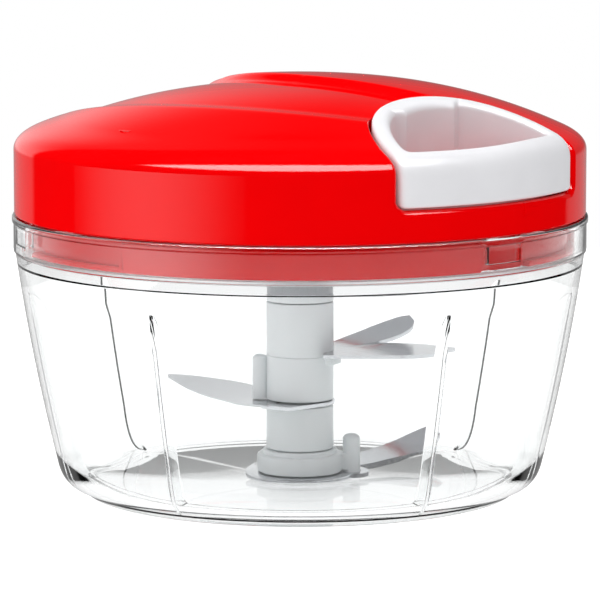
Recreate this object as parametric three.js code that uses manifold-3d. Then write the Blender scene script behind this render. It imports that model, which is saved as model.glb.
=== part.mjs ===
// Pull-cord food chopper: a clear bowl, a stack of steel blades on a white post, and a red
// lid that holds a cord reel, a one-way clutch and a return spring.
// Millimetres, +Z up. The origin is the centre of the foot ring on the table, and the
// handle is pulled out along +X.
import * as THREE from 'three';
import { mergeVertices } from 'three/addons/utils/BufferGeometryUtils.js';
import Module from 'manifold-3d';

const wasm = await Module();
wasm.setup();

// Facets of a full turn, and steps along curves
const fineTurn = 40;
const coarseTurn = 24;
const smallTurn = 10;
const wedgeTurnStep = 8;
const cornerSteps = 3;
const sideSteps = 4;
const outerShoulderSteps = 3;
const innerShoulderSteps = 2;

// Fits
const seatGap = 0.3;
const runningGap = 0.3;
const overrun = 4;

// Bowl
const rimRadius = 80;
const rimBeadHeight = 1.9;
const rimBeadStep = 0.4;
const collarWall = 2.5;
const collarHeight = 9.8;
const collarStep = 0.5;
const bowlHeight = 77.6;
const bowlWall = 2.3;
const ledgeWidth = 1.3;
const ledgeDrop = 3.2;
const ledgeBlend = 2;
const footRadius = 60;
const footWidth = 2.4;
const footFlare = 1.5;
const cornerFlare = 7.9;
const bodyCornerHeight = 8.8;
const bodyBulge = 1.4;
const undersideHeight = 2;
const floorThickness = 2;
const floorCornerRadius = 5;
const ribTurns = [-130, -74, -31, 31, 74, 130, 180];
const ribDepth = 4.6;
const ribThickness = 1.8;
const ribCrestThickness = 1.1;
const ribTopDrop = 19.6;
const ribHookHeight = 11;
const ribStationShares = [0, 0.06, 0.4, 0.8, 0.9, 0.96, 1];
const bowlTurnOnLid = -44.2;
const bossRadius = 4.6;
const bossHeight = 3.2;
const pinRadius = 3;
const pinCover = 4.2;
const pinSeatFloor = 0.8;

// Bayonet
const lugCount = 3;
const lugTurn = 9;
const lugHeight = 5.2;
const lugDrop = 1.9;
const lugDepth = 1.5;
const bandStartTurn = 38;
const bandEndTurn = 6.2;
const bandLapTurn = 1;
const ledgeStartTurn = 7.5;
const bandProud = 1.8;
const bandTopDrop = 0.9;

// Lid cover
const coverRimInset = 0.6;
const coverWall = 2.3;
const lidHeight = 38.6;
const domeRadius = 198;
const shoulderWidth = 4.8;
const shoulderDrop = 5.4;
const crescentRadius = 95;
const crescentX = -12.4;
const crescentY = 45.5;
const valleyDepth = 1.7;
const frontDrop = 0.5;
const valleyWidth = 8;
const lobeWidth = 3.5;
const lobeLineY = 1.5;
const lobeLineRadius = 111;
const outerStationShares = [0, 0.16, 0.32, 0.46, 0.58, 0.7, 0.8, 0.9, 1];
const innerStationShares = [0, 0.2, 0.4, 0.6, 0.8, 1];
const coverBossRadius = 4;
const coverBossInset = 17.4;
const coverBossCount = 3;
const coverBossTurn = 90;
const screwPilotRadius = 1.8;
const screwPilotDepth = 12;

// Handle and its pocket
const handleRadius = 32.8;
const fingerRadius = 27.8;
const fingerFrontWidth = 6;
const cordBossDepth = 2.4;
const cordBossHalfTurn = 26;
const handleRise = 9.4;
const handleProud = 0.2;
const handleInset = 0.3;
const pocketGap = 0.7;
const pocketWall = 1.8;
const pocketFloor = 2;
const pocketUnderGap = 0.5;
const markWidth = 5;
const markHeight = 3.4;
const markProud = 0.25;
const markDrop = 2.1;
const markTurn = 5.6;

// Lid base
const skirtWall = 2.4;
const skirtDepth = 9;
const skirtRise = 4.4;
const plateDrop = 3.6;
const plateThickness = 2;
const bearingRadius = 8.6;
const bearingWall = 2.4;
const bearingDepth = 5;
const postRadius = 2.8;
const postGap = 1.8;
const postTurn = 60;
const postCount = 3;

// Seal
const sealHeight = 1.2;
const sealWidth = 3.6;

// Drive hub and one-way clutch
const hubRadius = 9.2;
const hubDrop = 20;
const hubWall = 2.6;
const hubSocketDepth = 8.9;
const discGap = 0.9;
const discThickness = 2;
const washerThickness = 0.8;
const washerWidth = 6.4;
const clutchHeight = 5;
const toothCount = 12;
const toothDepth = 2.4;
const toothLeanTurn = 4.6;
const cupWall = 2.3;
const pawlCount = 2;
const pawlPivotInset = 2.2;
const pawlLeadTurn = 36;
const pawlPlayTurn = 1.3;
const pawlEyeRadius = 2.2;
const pawlArmShare = 0.75;
const pawlHeight = 3.6;
const pawlTipGap = 0.8;
const pawlTipThickness = 1.5;
const pawlPinRadius = 1.1;
const dogCount = 3;
const dogRootRadius = 2.4;
const dogOuter = 6;
const dogTurn = 26;
const dogPlayTurn = 4;
const dogHeight = 6;
const axleRadius = 1.9;
const axleHeadRadius = 3.8;

// Reel, cord and spring
const webThickness = 1.8;
const drumRadius = 20;
const drumWall = 2.4;
const flangeWidth = 6;
const flangeThickness = 1.3;
const cordRadius = 1;
const cordTurns = 2.4;
const cordTurnHeight = 2.5;
const cordSides = 8;
const windingSides = 6;
const windingSteps = 24;
const reelHubRadius = 3.9;
const springStrip = 0.5;
const springTurns = 5;
const springSteps = 14;
const springInnerRadius = 6.4;
const springTopGap = 2.8;
const arborRadius = 5.2;
const capGap = 0.7;
const capEdge = 0.4;
const capThickness = 2;
const capPocketGap = 0.9;
const eyeletRadius = 2.2;
const eyeletBore = 1.4;
const eyeletLip = 0.7;
const knotRadius = 2.4;

// Blade stack
const sleeveRadius = 9.4;
const coreRadius = 6.4;
const coreFloorGap = 0.6;
const bladeFloorGap = 1;
const bladeThickness = 1;
const middleBladeShare = 0.378;
const upperBladeShare = 0.67;
const driveCapHeight = 2.8;
const baseFlangeRadius = 12;
const baseFlangeHeight = 3.9;
const baseCollarRadius = 10.4;
const baseCollarHeight = 1.2;
const bladeHubRadius = 14;
const pegRadius = 2.1;
const middlePegTurn = -135.6;
const lowerPegPlace = 14.4;
const lowerPegHeight = 9.3;
const lowerPegRadius = 2.4;
const lowerPegTurn = 46;
const pegNoseShare = 0.6;
const tabLength = 11.6;
const tabWidth = 5;
const tabHeight = 2.2;
const tabTurn = 20;
const edgeBevel = 2.2;
const edgeThickness = 0.25;
const finLength = 43.5;
const finWidth = 23;
const finTurn = 45;
const scytheLength = 47;
const scytheWidth = 21;
const scytheHeight = 3;
const scytheTurn = 192;
const hornWidth = 8;
const hornHeight = 7.5;
const upperHornLength = 40;
const upperHornTurn = 81;
const lowerHornLength = 47;
const lowerHornTurn = 76;

// Screws
const screwRadius = 1.5;
const screwHeadRadius = 2.7;
const screwHeadHeight = 1.6;
const screwHeadEdge = 1.1;
const coverScrewLength = 11;
const capScrewLength = 9;

// Places worked out from the sizes above
const collarInner = rimRadius - rimBeadStep - collarWall;
const collarBottom = bowlHeight - collarHeight;
const ledgeHeight = collarBottom - ledgeDrop;
const ledgeInner = collarInner - ledgeWidth;
const bodyTopRadius = rimRadius - rimBeadStep - collarStep;
const bodyFootRadius = footRadius + footFlare;
const bodyCornerRadius = footRadius + cornerFlare;
const floorTop = undersideHeight + floorThickness;
const ribTop = bowlHeight - ribTopDrop;
const coverWallRadius = rimRadius - coverRimInset;
const coverInner = coverWallRadius - coverWall;
const coverBottom = bowlHeight + seatGap;
const coverBossPlace = coverWallRadius - coverBossInset;
const shoulderRadius = coverWallRadius - shoulderWidth;
const domeApex = bowlHeight + lidHeight;
const handleBottom = bowlHeight + handleRise;
const pocketBottom = handleBottom - pocketUnderGap;
const skirtRadius = collarInner - bandProud - seatGap;
const skirtInner = skirtRadius - skirtWall;
const skirtBottom = bowlHeight - skirtDepth;
const ledgeLidTop = bowlHeight - lugDrop - lugHeight - seatGap;
const plateTop = bowlHeight - plateDrop;
const plateBottom = plateTop - plateThickness;
const bearingBottom = plateTop - bearingDepth;
const hubBottom = bowlHeight - hubDrop;
const hubSocketTop = hubBottom + hubSocketDepth;
const hubSocket = hubRadius - hubWall;
const washerBottom = plateTop + seatGap;
const discBottom = washerBottom + washerThickness + seatGap;
const discTop = discBottom + discThickness;
const clutchBottom = discTop + seatGap;
const clutchTop = clutchBottom + clutchHeight;
const webTop = clutchTop + webThickness;
const drumHeight = cordTurns * cordTurnHeight + cordTurnHeight + cordRadius * 2 + runningGap;
const drumTop = webTop + drumHeight;
const reelTop = drumTop + flangeThickness;
const capBottom = reelTop + capGap;
const capTop = capBottom + capThickness;
const cordLevel = drumTop - runningGap - cordRadius;
const cordDrumRadius = drumRadius + runningGap / 2 + cordRadius;
const reelCupRadius = drumRadius + flangeWidth;
const toothRootRadius = reelCupRadius - cupWall;
const toothTipRadius = toothRootRadius - toothDepth;
const pawlTipRadius = toothRootRadius - pawlTipGap;
const discRadius = toothTipRadius - discGap;
const pawlPivotPlace = discRadius - pawlPivotInset;
const postPlace = reelCupRadius + postGap + postRadius;
const capRadius = postPlace + postRadius + capEdge;
const handleNoseX = capRadius + capPocketGap + pocketWall + pocketGap;
const handleCentreX = handleNoseX + handleRadius;
const handleOuterX = handleCentreX + handleRadius;
const eyeletX = handleNoseX - pocketGap - pocketWall / 2;
const sleeveTop = hubBottom - seatGap * 2 - driveCapHeight;
const pinTop = sleeveTop - pinCover;
const coreBottom = floorTop + coreFloorGap;
const lowerBladeLevel = floorTop + bladeFloorGap;
const lowerBladeTop = lowerBladeLevel + bladeThickness;
const middleBladeLevel = lowerBladeTop + (sleeveTop - lowerBladeTop) * middleBladeShare;
const middleBladeTop = middleBladeLevel + bladeThickness;
const upperBladeLevel = lowerBladeTop + (sleeveTop - lowerBladeTop) * upperBladeShare;
const upperBladeTop = upperBladeLevel + bladeThickness;

const fullTurn = 360;
const rad = THREE.MathUtils.degToRad;

// Closed solids from three.js geometry
function solid(geometry) {
  const bare = geometry.clone();
  bare.deleteAttribute('normal');
  bare.deleteAttribute('uv');
  const merged = mergeVertices(bare, 1e-4);
  const index = merged.index.array;
  const kept = [];
  for (let i = 0; i < index.length; i += 3) {
    const [a, b, c] = [index[i], index[i + 1], index[i + 2]];
    if (a !== b && b !== c && a !== c) kept.push(a, b, c);
  }
  const mesh = new wasm.Mesh({
    numProp: 3,
    vertProperties: new Float32Array(merged.attributes.position.array),
    triVerts: new Uint32Array(kept),
  });
  return new wasm.Manifold(mesh);
}

function geometryOf(body) {
  const mesh = body.getMesh();
  const geometry = new THREE.BufferGeometry();
  geometry.setAttribute('position', new THREE.BufferAttribute(mesh.vertProperties, 3));
  geometry.setIndex(new THREE.BufferAttribute(mesh.triVerts, 1));
  geometry.computeVertexNormals();
  return geometry;
}

// A profile of [radius, height] points, turned about Z; it starts and ends on the axis, or
// closes on itself, and runs counter-clockwise with the radius to the right
function turned(profile, segments = fineTurn) {
  const points = profile.map(([r, z]) => new THREE.Vector2(r, z));
  const closed = profile[0][0] !== 0;
  if (closed) points.push(points[0].clone());
  return solid(new THREE.LatheGeometry(points, segments).rotateX(Math.PI / 2));
}

function disc(radius, bottom, top, segments = coarseTurn) {
  return turned([[0, bottom], [radius, bottom], [radius, top], [0, top]], segments);
}

function ring(inner, outer, bottom, top, segments = coarseTurn) {
  return turned([[inner, bottom], [outer, bottom], [outer, top], [inner, top]], segments);
}

function slab(shape, bottom, top, curveSegments = 8) {
  const options = { depth: top - bottom, bevelEnabled: false, curveSegments };
  return solid(new THREE.ExtrudeGeometry(shape, options).translate(0, 0, bottom));
}

function block(width, depth, height, x, y, z) {
  return solid(new THREE.BoxGeometry(width, depth, height).translate(x, y, z));
}

const pawlTurn = (k) => (k / pawlCount) * fullTurn + pawlLeadTurn;
const atTurn = (body, degrees) => body.rotate([0, 0, degrees]);
const outAlong = (body, distance, degrees) => atTurn(body.translate([distance, 0, 0]), degrees);
const lifted = (body, height) => body.translate([0, 0, height]);
const joined = (bodies) => bodies.reduce((whole, body) => whole.add(body));

// Sections of equal point count, joined into one closed skin
function lofted(sections) {
  const count = sections[0].length;
  const positions = sections.flat().flatMap((p) => [p.x, p.y, p.z]);
  const index = [];
  for (let s = 0; s < sections.length - 1; s += 1) {
    for (let k = 0; k < count; k += 1) {
      const a = s * count + k;
      const b = s * count + (k + 1) % count;
      index.push(a, b, b + count, a, b + count, a + count);
    }
  }
  const last = (sections.length - 1) * count;
  for (let k = 1; k < count - 1; k += 1) {
    index.push(0, k + 1, k, last, last + k, last + k + 1);
  }
  const geometry = new THREE.BufferGeometry();
  geometry.setAttribute('position', new THREE.Float32BufferAttribute(positions, 3));
  geometry.setIndex(index);
  return solid(geometry);
}

// A polar skin whose profile changes with the angle
function polarSolid(profileAt, segments = fineTurn) {
  const profiles = [];
  for (let s = 0; s < segments; s += 1) {
    const angle = (s / segments) * 2 * Math.PI;
    profiles.push(profileAt(angle).map(([r, z]) => [r * Math.cos(angle), r * Math.sin(angle), z]));
  }
  const count = profiles[0].length;
  const positions = profiles.flat(2);
  const index = [];
  for (let s = 0; s < segments; s += 1) {
    const next = (s + 1) % segments;
    for (let k = 0; k < count - 1; k += 1) {
      const [a, b] = [s * count + k, next * count + k];
      index.push(a, b, b + 1, a, b + 1, a + 1);
    }
  }
  const geometry = new THREE.BufferGeometry();
  geometry.setAttribute('position', new THREE.Float32BufferAttribute(positions, 3));
  geometry.setIndex(index);
  return solid(geometry);
}

const smooth = (t) => THREE.MathUtils.smoothstep(t, 0, 1);

// Lid surface: a shallow sphere, stepped down in front of the lobe that fills its far half,
// with a valley between that step and the crescent along the front rim
const sphereHeight = (r) => domeApex - domeRadius + Math.sqrt(domeRadius ** 2 - r ** 2);

function valleyAt(x, y) {
  const reach = Math.hypot(x - crescentX, y - crescentY);
  const valley = smooth((crescentRadius - reach) / valleyWidth);
  const lobeLine = lobeLineY + x ** 2 / (lobeLineRadius * 2);
  return smooth((lobeLine - y) / lobeWidth) * (frontDrop + (valleyDepth - frontDrop) * valley);
}

// Outer line of the lid at one angle, from the axis to the foot of the wall
function coverLine(angle, wallRadius, inset, foot, withValley) {
  const stationShares = inset > 0 ? innerStationShares : outerStationShares;
  const shoulderSteps = inset > 0 ? innerShoulderSteps : outerShoulderSteps;
  const edge = shoulderRadius - (inset * shoulderWidth) / shoulderDrop;
  const line = stationShares.map((share) => {
    const r = share * edge;
    const dip = withValley ? valleyAt(r * Math.cos(angle), r * Math.sin(angle)) : 0;
    return [r, sphereHeight(r) - dip - inset];
  });
  const shoulder = new THREE.QuadraticBezierCurve(
    new THREE.Vector2(edge, sphereHeight(edge) - inset),
    new THREE.Vector2(wallRadius, sphereHeight(wallRadius) - inset),
    new THREE.Vector2(wallRadius, sphereHeight(edge) - inset - shoulderDrop),
  );
  line.push(...shoulder.getPoints(shoulderSteps).slice(1).map((p) => [p.x, p.y]));
  line.push([wallRadius, foot]);
  return line;
}

// Filled body under the lid surface
function coverEnvelope(wallRadius, inset, foot, withValley) {
  return polarSolid((angle) => {
    const line = coverLine(angle, wallRadius, inset, foot, withValley);
    return [...line, [0, foot]].reverse();
  });
}

// Plan with a round nose towards the middle of the lid and straight sides out past its wall
function nosePlan(radius) {
  const shape = new THREE.Shape();
  shape.absarc(handleCentreX, 0, radius, Math.PI / 2, -Math.PI / 2, false);
  shape.lineTo(handleOuterX, -radius);
  shape.lineTo(handleOuterX, radius);
  shape.closePath();
  return shape;
}

// Bowl wall: the curve of its corner and the bowed line of its side
const bowlCorner = new THREE.QuadraticBezierCurve(
  new THREE.Vector2(bodyFootRadius, undersideHeight),
  new THREE.Vector2(bodyCornerRadius - bodyBulge, undersideHeight),
  new THREE.Vector2(bodyCornerRadius, bodyCornerHeight),
);
const bowlSide = new THREE.QuadraticBezierCurve(
  new THREE.Vector2(bodyCornerRadius, bodyCornerHeight),
  new THREE.Vector2(
    (bodyCornerRadius + bodyTopRadius) / 2 + bodyBulge,
    (bodyCornerHeight + collarBottom) / 2 - bodyBulge / 2,
  ),
  new THREE.Vector2(bodyTopRadius, collarBottom - collarStep),
);

function bowlRadiusAt(z) {
  if (z < bodyCornerHeight) {
    return bowlCorner.getPoint(Math.sqrt((z - undersideHeight) / (bodyCornerHeight - undersideHeight))).x;
  }
  return bowlSide.getPoint((z - bodyCornerHeight) / (collarBottom - bodyCornerHeight)).x;
}

// Bowl outline from the foot up, outside and inside
function bowlProfile() {
  const outside = [
    [0, undersideHeight],
    [footRadius - footWidth, undersideHeight],
    [footRadius - footWidth, 0],
    [footRadius, 0],
    ...bowlCorner.getPoints(cornerSteps).map((p) => [p.x, p.y]),
    ...bowlSide.getPoints(sideSteps).slice(1).map((p) => [p.x, p.y]),
    [rimRadius - rimBeadStep, collarBottom],
    [rimRadius - rimBeadStep, bowlHeight - rimBeadHeight],
    [rimRadius, bowlHeight - rimBeadHeight + rimBeadStep],
    [rimRadius, bowlHeight - rimBeadStep],
    [rimRadius - rimBeadStep, bowlHeight],
  ];
  const inner = bowlSide.getPoints(sideSteps).slice(1, -1).map((p) => [p.x - bowlWall, p.y]);
  const floorCorner = new THREE.QuadraticBezierCurve(
    new THREE.Vector2(bodyCornerRadius - bowlWall - floorCornerRadius, floorTop),
    new THREE.Vector2(bodyCornerRadius - bowlWall, floorTop),
    new THREE.Vector2(bodyCornerRadius - bowlWall + bodyBulge / 4, bodyCornerHeight + bodyBulge),
  );
  const inside = [
    [collarInner, bowlHeight],
    [collarInner, ledgeHeight],
    [ledgeInner, ledgeHeight],
    [ledgeInner, ledgeHeight - ledgeBlend],
    ...inner.reverse(),
    ...floorCorner.getPoints(cornerSteps).reverse().map((p) => [p.x, p.y]),
    [0, floorTop],
  ];
  return [...outside, ...inside];
}

// Rib: a thin fin on the inside of the wall, whose top runs out into the wall in a hook
function bowlRib() {
  const base = floorTop - floorThickness / 2;
  const sections = ribStationShares.map((share) => {
    const z = base + (ribTop - base) * share;
    const inWall = bowlRadiusAt(z) - bowlWall / 2;
    const hook = Math.min((ribTop - z) / ribHookHeight, 1);
    const crest = inWall - bowlWall / 2 - ribDepth * Math.sqrt(hook);
    return [
      new THREE.Vector3(crest, -ribCrestThickness / 2, z),
      new THREE.Vector3(inWall, -ribThickness / 2, z),
      new THREE.Vector3(inWall, ribThickness / 2, z),
      new THREE.Vector3(crest, ribCrestThickness / 2, z),
    ];
  });
  return lofted(sections);
}

function wedge(inner, outer, bottom, top, start, end) {
  const shape = new THREE.Shape();
  shape.absarc(0, 0, outer, rad(start), rad(end), false);
  shape.absarc(0, 0, inner, rad(end), rad(start), true);
  shape.closePath();
  return slab(shape, bottom, top, Math.ceil(Math.abs(end - start) / wedgeTurnStep / 2));
}

function makeBowl() {
  let bowl = turned(bowlProfile());
  bowl = bowl.add(disc(bossRadius, undersideHeight, floorTop + bossHeight));
  for (const turn of ribTurns) bowl = bowl.add(atTurn(bowlRib(), turn + bowlTurnOnLid));
  const lugTop = bowlHeight - lugDrop;
  const lugInner = collarInner - lugDepth;
  const lugOuter = collarInner + collarWall / 2;
  for (let k = 0; k < lugCount; k += 1) {
    const start = (k / lugCount) * fullTurn - lugTurn / 2;
    bowl = bowl.add(wedge(lugInner, lugOuter, lugTop - lugHeight, lugTop, start, start + lugTurn));
  }
  return bowl.subtract(disc(pinRadius + seatGap, undersideHeight + pinSeatFloor, bowlHeight));
}

function makeSpindlePin() {
  const bottom = undersideHeight + pinSeatFloor + seatGap;
  const nose = pinRadius / 2;
  return turned([
    [0, bottom], [pinRadius, bottom], [pinRadius, pinTop - nose], [pinRadius - nose, pinTop], [0, pinTop],
  ], coarseTurn);
}

// Lid cover: the shell, the handle's pocket and three screw bosses
function makeCover() {
  const outer = coverEnvelope(coverWallRadius, 0, coverBottom, true);
  const hollow = coverEnvelope(coverInner, coverWall, coverBottom - overrun, true);
  const pocketPlan = nosePlan(handleRadius + pocketGap + pocketWall);
  const pocket = slab(pocketPlan, pocketBottom - pocketFloor, domeApex, coarseTurn / 2);
  const cavityPlan = nosePlan(handleRadius + pocketGap);
  const cavity = slab(cavityPlan, pocketBottom, domeApex + overrun, coarseTurn / 2);
  let cover = outer.subtract(hollow).add(pocket.intersect(outer)).subtract(cavity);
  const bossBottom = plateTop + seatGap;
  const bossRoom = outer.add(disc(coverInner - overrun, bossBottom, coverBottom + overrun));
  const boss = disc(coverBossRadius, bossBottom, domeApex, smallTurn);
  const pilot = disc(screwPilotRadius, bossBottom - overrun, bossBottom + screwPilotDepth, smallTurn);
  for (let k = 0; k < coverBossCount; k += 1) {
    const turn = coverBossTurn * (k + 1);
    cover = cover.add(outAlong(boss, coverBossPlace, turn).intersect(bossRoom));
    cover = cover.subtract(outAlong(pilot, coverBossPlace, turn));
  }
  const eyeletHole = crossDisc(eyeletRadius + seatGap, eyeletX - pocketWall * 2, eyeletX + pocketWall * 2);
  return cover.subtract(eyeletHole).add(makeMark());
}

// A disc whose axis runs along X at the cord's level
function crossDisc(radius, startX, endX) {
  const geometry = new THREE.CylinderGeometry(radius, radius, endX - startX, smallTurn);
  return solid(geometry.rotateZ(Math.PI / 2).translate((startX + endX) / 2, 0, cordLevel));
}

// Arrow mark under the handle
function makeMark() {
  const shape = new THREE.Shape();
  shape.moveTo(-markWidth / 2, markHeight / 2);
  shape.lineTo(0, -markHeight / 2);
  shape.lineTo(markWidth / 2, markHeight / 2);
  shape.closePath();
  const depth = coverWall / 2 + markProud;
  const geometry = new THREE.ExtrudeGeometry(shape, { depth, bevelEnabled: false });
  geometry.rotateX(Math.PI / 2).rotateZ(Math.PI / 2);
  geometry.translate(coverWallRadius - coverWall / 2, 0, pocketBottom - markDrop);
  return atTurn(solid(geometry), markTurn);
}

// Pull handle: a loop with a boss at its nose that seats the cord's knot
function makeHandle() {
  const envelope = coverEnvelope(coverWallRadius - handleInset, -handleProud, handleBottom - overrun, false);
  const blank = slab(nosePlan(handleRadius), handleBottom, domeApex + overrun, coarseTurn / 2);
  const low = handleBottom - overrun;
  const high = domeApex + overrun;
  const hole = slab(nosePlan(fingerRadius), low, high, coarseTurn / 2);
  const finger = hole.intersect(disc(coverWallRadius - fingerFrontWidth, low, high, fineTurn));
  const noseTurn = fullTurn / 2;
  const inner = fingerRadius - cordBossDepth;
  const outer = (fingerRadius + handleRadius) / 2;
  const boss = wedge(inner, outer, low, high, noseTurn - cordBossHalfTurn, noseTurn + cordBossHalfTurn);
  const opening = finger.subtract(boss.translate([handleCentreX, 0, 0]));
  const seatX = handleCentreX - inner;
  const cordHole = crossDisc(cordRadius + seatGap, handleNoseX - overrun, seatX + overrun);
  const seat = crossDisc(knotRadius + seatGap, seatX - knotRadius, seatX + overrun);
  return blank.intersect(envelope).subtract(opening).subtract(cordHole).subtract(seat);
}

// Lid base: a dish with the bayonet bands round its skirt and the posts of the mechanism
function makeLidBase() {
  const bearingOuter = bearingRadius + bearingWall;
  const skirtTop = bowlHeight + skirtRise;
  let base = turned([
    [bearingOuter, plateBottom], [skirtInner, plateBottom], [skirtInner, skirtBottom],
    [skirtRadius, skirtBottom], [skirtRadius, skirtTop], [skirtInner, skirtTop],
    [skirtInner, plateTop], [bearingOuter, plateTop],
  ]);
  base = base.add(ring(bearingRadius, bearingOuter + bearingWall, bearingBottom, plateTop));
  const bandTop = bowlHeight - bandTopDrop;
  const bandInner = skirtRadius - skirtWall / 2;
  const bandOuter = skirtRadius + bandProud;
  for (let k = 0; k < lugCount; k += 1) {
    const turn = (k / lugCount) * fullTurn;
    const bandStart = turn + bandStartTurn;
    const bandEnd = turn + fullTurn / lugCount - bandEndTurn;
    const ledgeStart = turn + ledgeStartTurn;
    const ledgeEnd = bandStart + bandLapTurn;
    base = base.add(wedge(bandInner, bandOuter, skirtBottom, bandTop, bandStart, bandEnd));
    base = base.add(wedge(bandInner, bandOuter, skirtBottom, ledgeLidTop, ledgeStart, ledgeEnd));
  }
  const post = disc(postRadius, plateBottom + plateThickness / 2, capBottom - seatGap, smallTurn);
  const postPilot = disc(screwPilotRadius, capBottom - capScrewLength, capBottom, smallTurn);
  for (let k = 0; k < postCount; k += 1) {
    const turn = postTurn + (k / postCount) * fullTurn;
    base = base.add(outAlong(post, postPlace, turn)).subtract(outAlong(postPilot, postPlace, turn));
  }
  const screwHole = disc(screwPilotRadius, plateBottom - overrun, plateTop + overrun, smallTurn);
  for (let k = 0; k < coverBossCount; k += 1) {
    base = base.subtract(outAlong(screwHole, coverBossPlace, coverBossTurn * (k + 1)));
  }
  return base;
}

function makeSeal() {
  const outer = collarInner - seatGap;
  const top = skirtBottom - seatGap;
  const bottom = top - sealHeight;
  return turned([
    [outer - sealWidth, bottom + sealHeight / 2], [outer - sealWidth / 2, bottom], [outer, bottom],
    [outer, top], [outer - sealWidth, top],
  ]);
}

// Drive hub: the clutch disc, its neck through the lid base and the dog socket below
function makeDriveHub() {
  const neck = bearingRadius - runningGap;
  const bore = axleRadius + runningGap;
  const shoulder = bearingBottom - runningGap;
  let hub = turned([
    [bore, hubSocketTop], [hubSocket, hubSocketTop], [hubSocket, hubBottom], [hubRadius, hubBottom],
    [hubRadius, shoulder], [neck, shoulder], [neck, discBottom], [discRadius, discBottom],
    [discRadius, discTop], [bore, discTop],
  ], coarseTurn);
  const dogInner = dogRootRadius + runningGap;
  const dogReach = hubSocket + hubWall / 2;
  for (let k = 0; k < dogCount; k += 1) {
    const end = (k / dogCount) * fullTurn - dogPlayTurn - dogTurn / 2;
    hub = hub.add(wedge(dogInner, dogReach, hubBottom + seatGap, hubSocketTop, end - dogTurn, end));
  }
  const pinHole = disc(pawlPinRadius + seatGap / 2, discBottom - overrun, discTop + overrun, smallTurn);
  for (let k = 0; k < pawlCount; k += 1) hub = hub.subtract(outAlong(pinHole, pawlPivotPlace, pawlTurn(k)));
  return hub;
}

function makeWasher() {
  return ring(bearingRadius, bearingRadius + washerWidth, washerBottom, washerBottom + washerThickness);
}

// Pawl: an eye on its pin, and an arm back and out to the tooth that pushes it
function makePawl(k) {
  const origin = new THREE.Vector2();
  const tooth = rad(pawlTurn(k) - pawlLeadTurn + pawlPlayTurn);
  const pivot = new THREE.Vector2(pawlPivotPlace, 0).rotateAround(origin, rad(pawlTurn(k)));
  const tipOut = new THREE.Vector2(pawlTipRadius, 0).rotateAround(origin, tooth);
  const tipIn = new THREE.Vector2(pawlTipRadius - pawlTipThickness, 0).rotateAround(origin, tooth);
  const along = tipOut.clone().sub(pivot).normalize();
  const across = new THREE.Vector2(-along.y, along.x).multiplyScalar(pawlEyeRadius * pawlArmShare);
  const shape = new THREE.Shape([pivot.clone().add(across), pivot.clone().sub(across), tipIn, tipOut]);
  const top = clutchBottom + pawlHeight;
  const eye = disc(pawlEyeRadius, clutchBottom, top, smallTurn).translate([pivot.x, pivot.y, 0]);
  const hole = disc(pawlPinRadius + runningGap, clutchBottom - overrun, top + overrun, smallTurn);
  return slab(shape, clutchBottom, top).add(eye).subtract(hole.translate([pivot.x, pivot.y, 0]));
}

function makePawlPin(k) {
  const pin = disc(pawlPinRadius, discBottom, clutchBottom + pawlHeight, smallTurn);
  return outAlong(pin, pawlPivotPlace, pawlTurn(k));
}

// Reel: a cup with ratchet teeth inside, a drum for the cord and a well for the spring
function makeReel() {
  const teeth = new THREE.Shape();
  teeth.absarc(0, 0, reelCupRadius, 0, 2 * Math.PI, false);
  const toothTurn = fullTurn / toothCount;
  const rampTurn = toothTurn - toothLeanTurn;
  const edge = [];
  for (let k = 0; k < toothCount; k += 1) {
    const start = rad(k * toothTurn);
    const middle = start + rad(rampTurn / 2);
    const end = start + rad(rampTurn);
    const middleRadius = (toothRootRadius + toothTipRadius) / 2;
    edge.push(new THREE.Vector2(toothRootRadius * Math.cos(start), toothRootRadius * Math.sin(start)));
    edge.push(new THREE.Vector2(middleRadius * Math.cos(middle), middleRadius * Math.sin(middle)));
    edge.push(new THREE.Vector2(toothTipRadius * Math.cos(end), toothTipRadius * Math.sin(end)));
  }
  teeth.holes.push(new THREE.Path(edge));
  const cup = slab(teeth, clutchBottom, clutchTop, coarseTurn / 2);
  const well = drumRadius - drumWall;
  const bore = axleRadius + runningGap;
  const low = clutchTop - webThickness / 2;
  const drum = turned([
    [bore, low], [reelCupRadius, low], [reelCupRadius, webTop], [drumRadius, webTop], [drumRadius, drumTop],
    [reelCupRadius, drumTop], [reelCupRadius, reelTop], [well, reelTop], [well, webTop],
    [reelHubRadius, webTop], [reelHubRadius, webTop + flangeThickness], [bore, webTop + flangeThickness],
  ], coarseTurn);
  return cup.add(drum);
}

// A round tube along a curve
function tube(points, radius, steps, sides) {
  const circle = new THREE.Shape();
  circle.absarc(0, 0, radius, 0, 2 * Math.PI, false);
  const extrudePath = new THREE.CatmullRomCurve3(points);
  const options = { steps, extrudePath, bevelEnabled: false, curveSegments: sides / 2 };
  return solid(new THREE.ExtrudeGeometry(circle, options));
}

// Where the cord leaves the drum for the eyelet, and where its knot sits
const knotX = handleCentreX - fingerRadius + cordBossDepth;
const leaveAngle = -Math.acos(cordDrumRadius / (eyeletX - pocketWall));
const leavePoint = new THREE.Vector3(
  cordDrumRadius * Math.cos(leaveAngle),
  cordDrumRadius * Math.sin(leaveAngle),
  cordLevel,
);

// The least gap between one turn of the winding and the next
function printLeastGap(points) {
  let least = Infinity;
  points.forEach((point, s) => {
    for (const other of points.slice(s + windingSteps / 2)) least = Math.min(least, point.distanceTo(other));
  });
  console.log(`least gap between turns of the cord: ${(least - cordRadius * 2).toFixed(2)} mm`);
}

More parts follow.
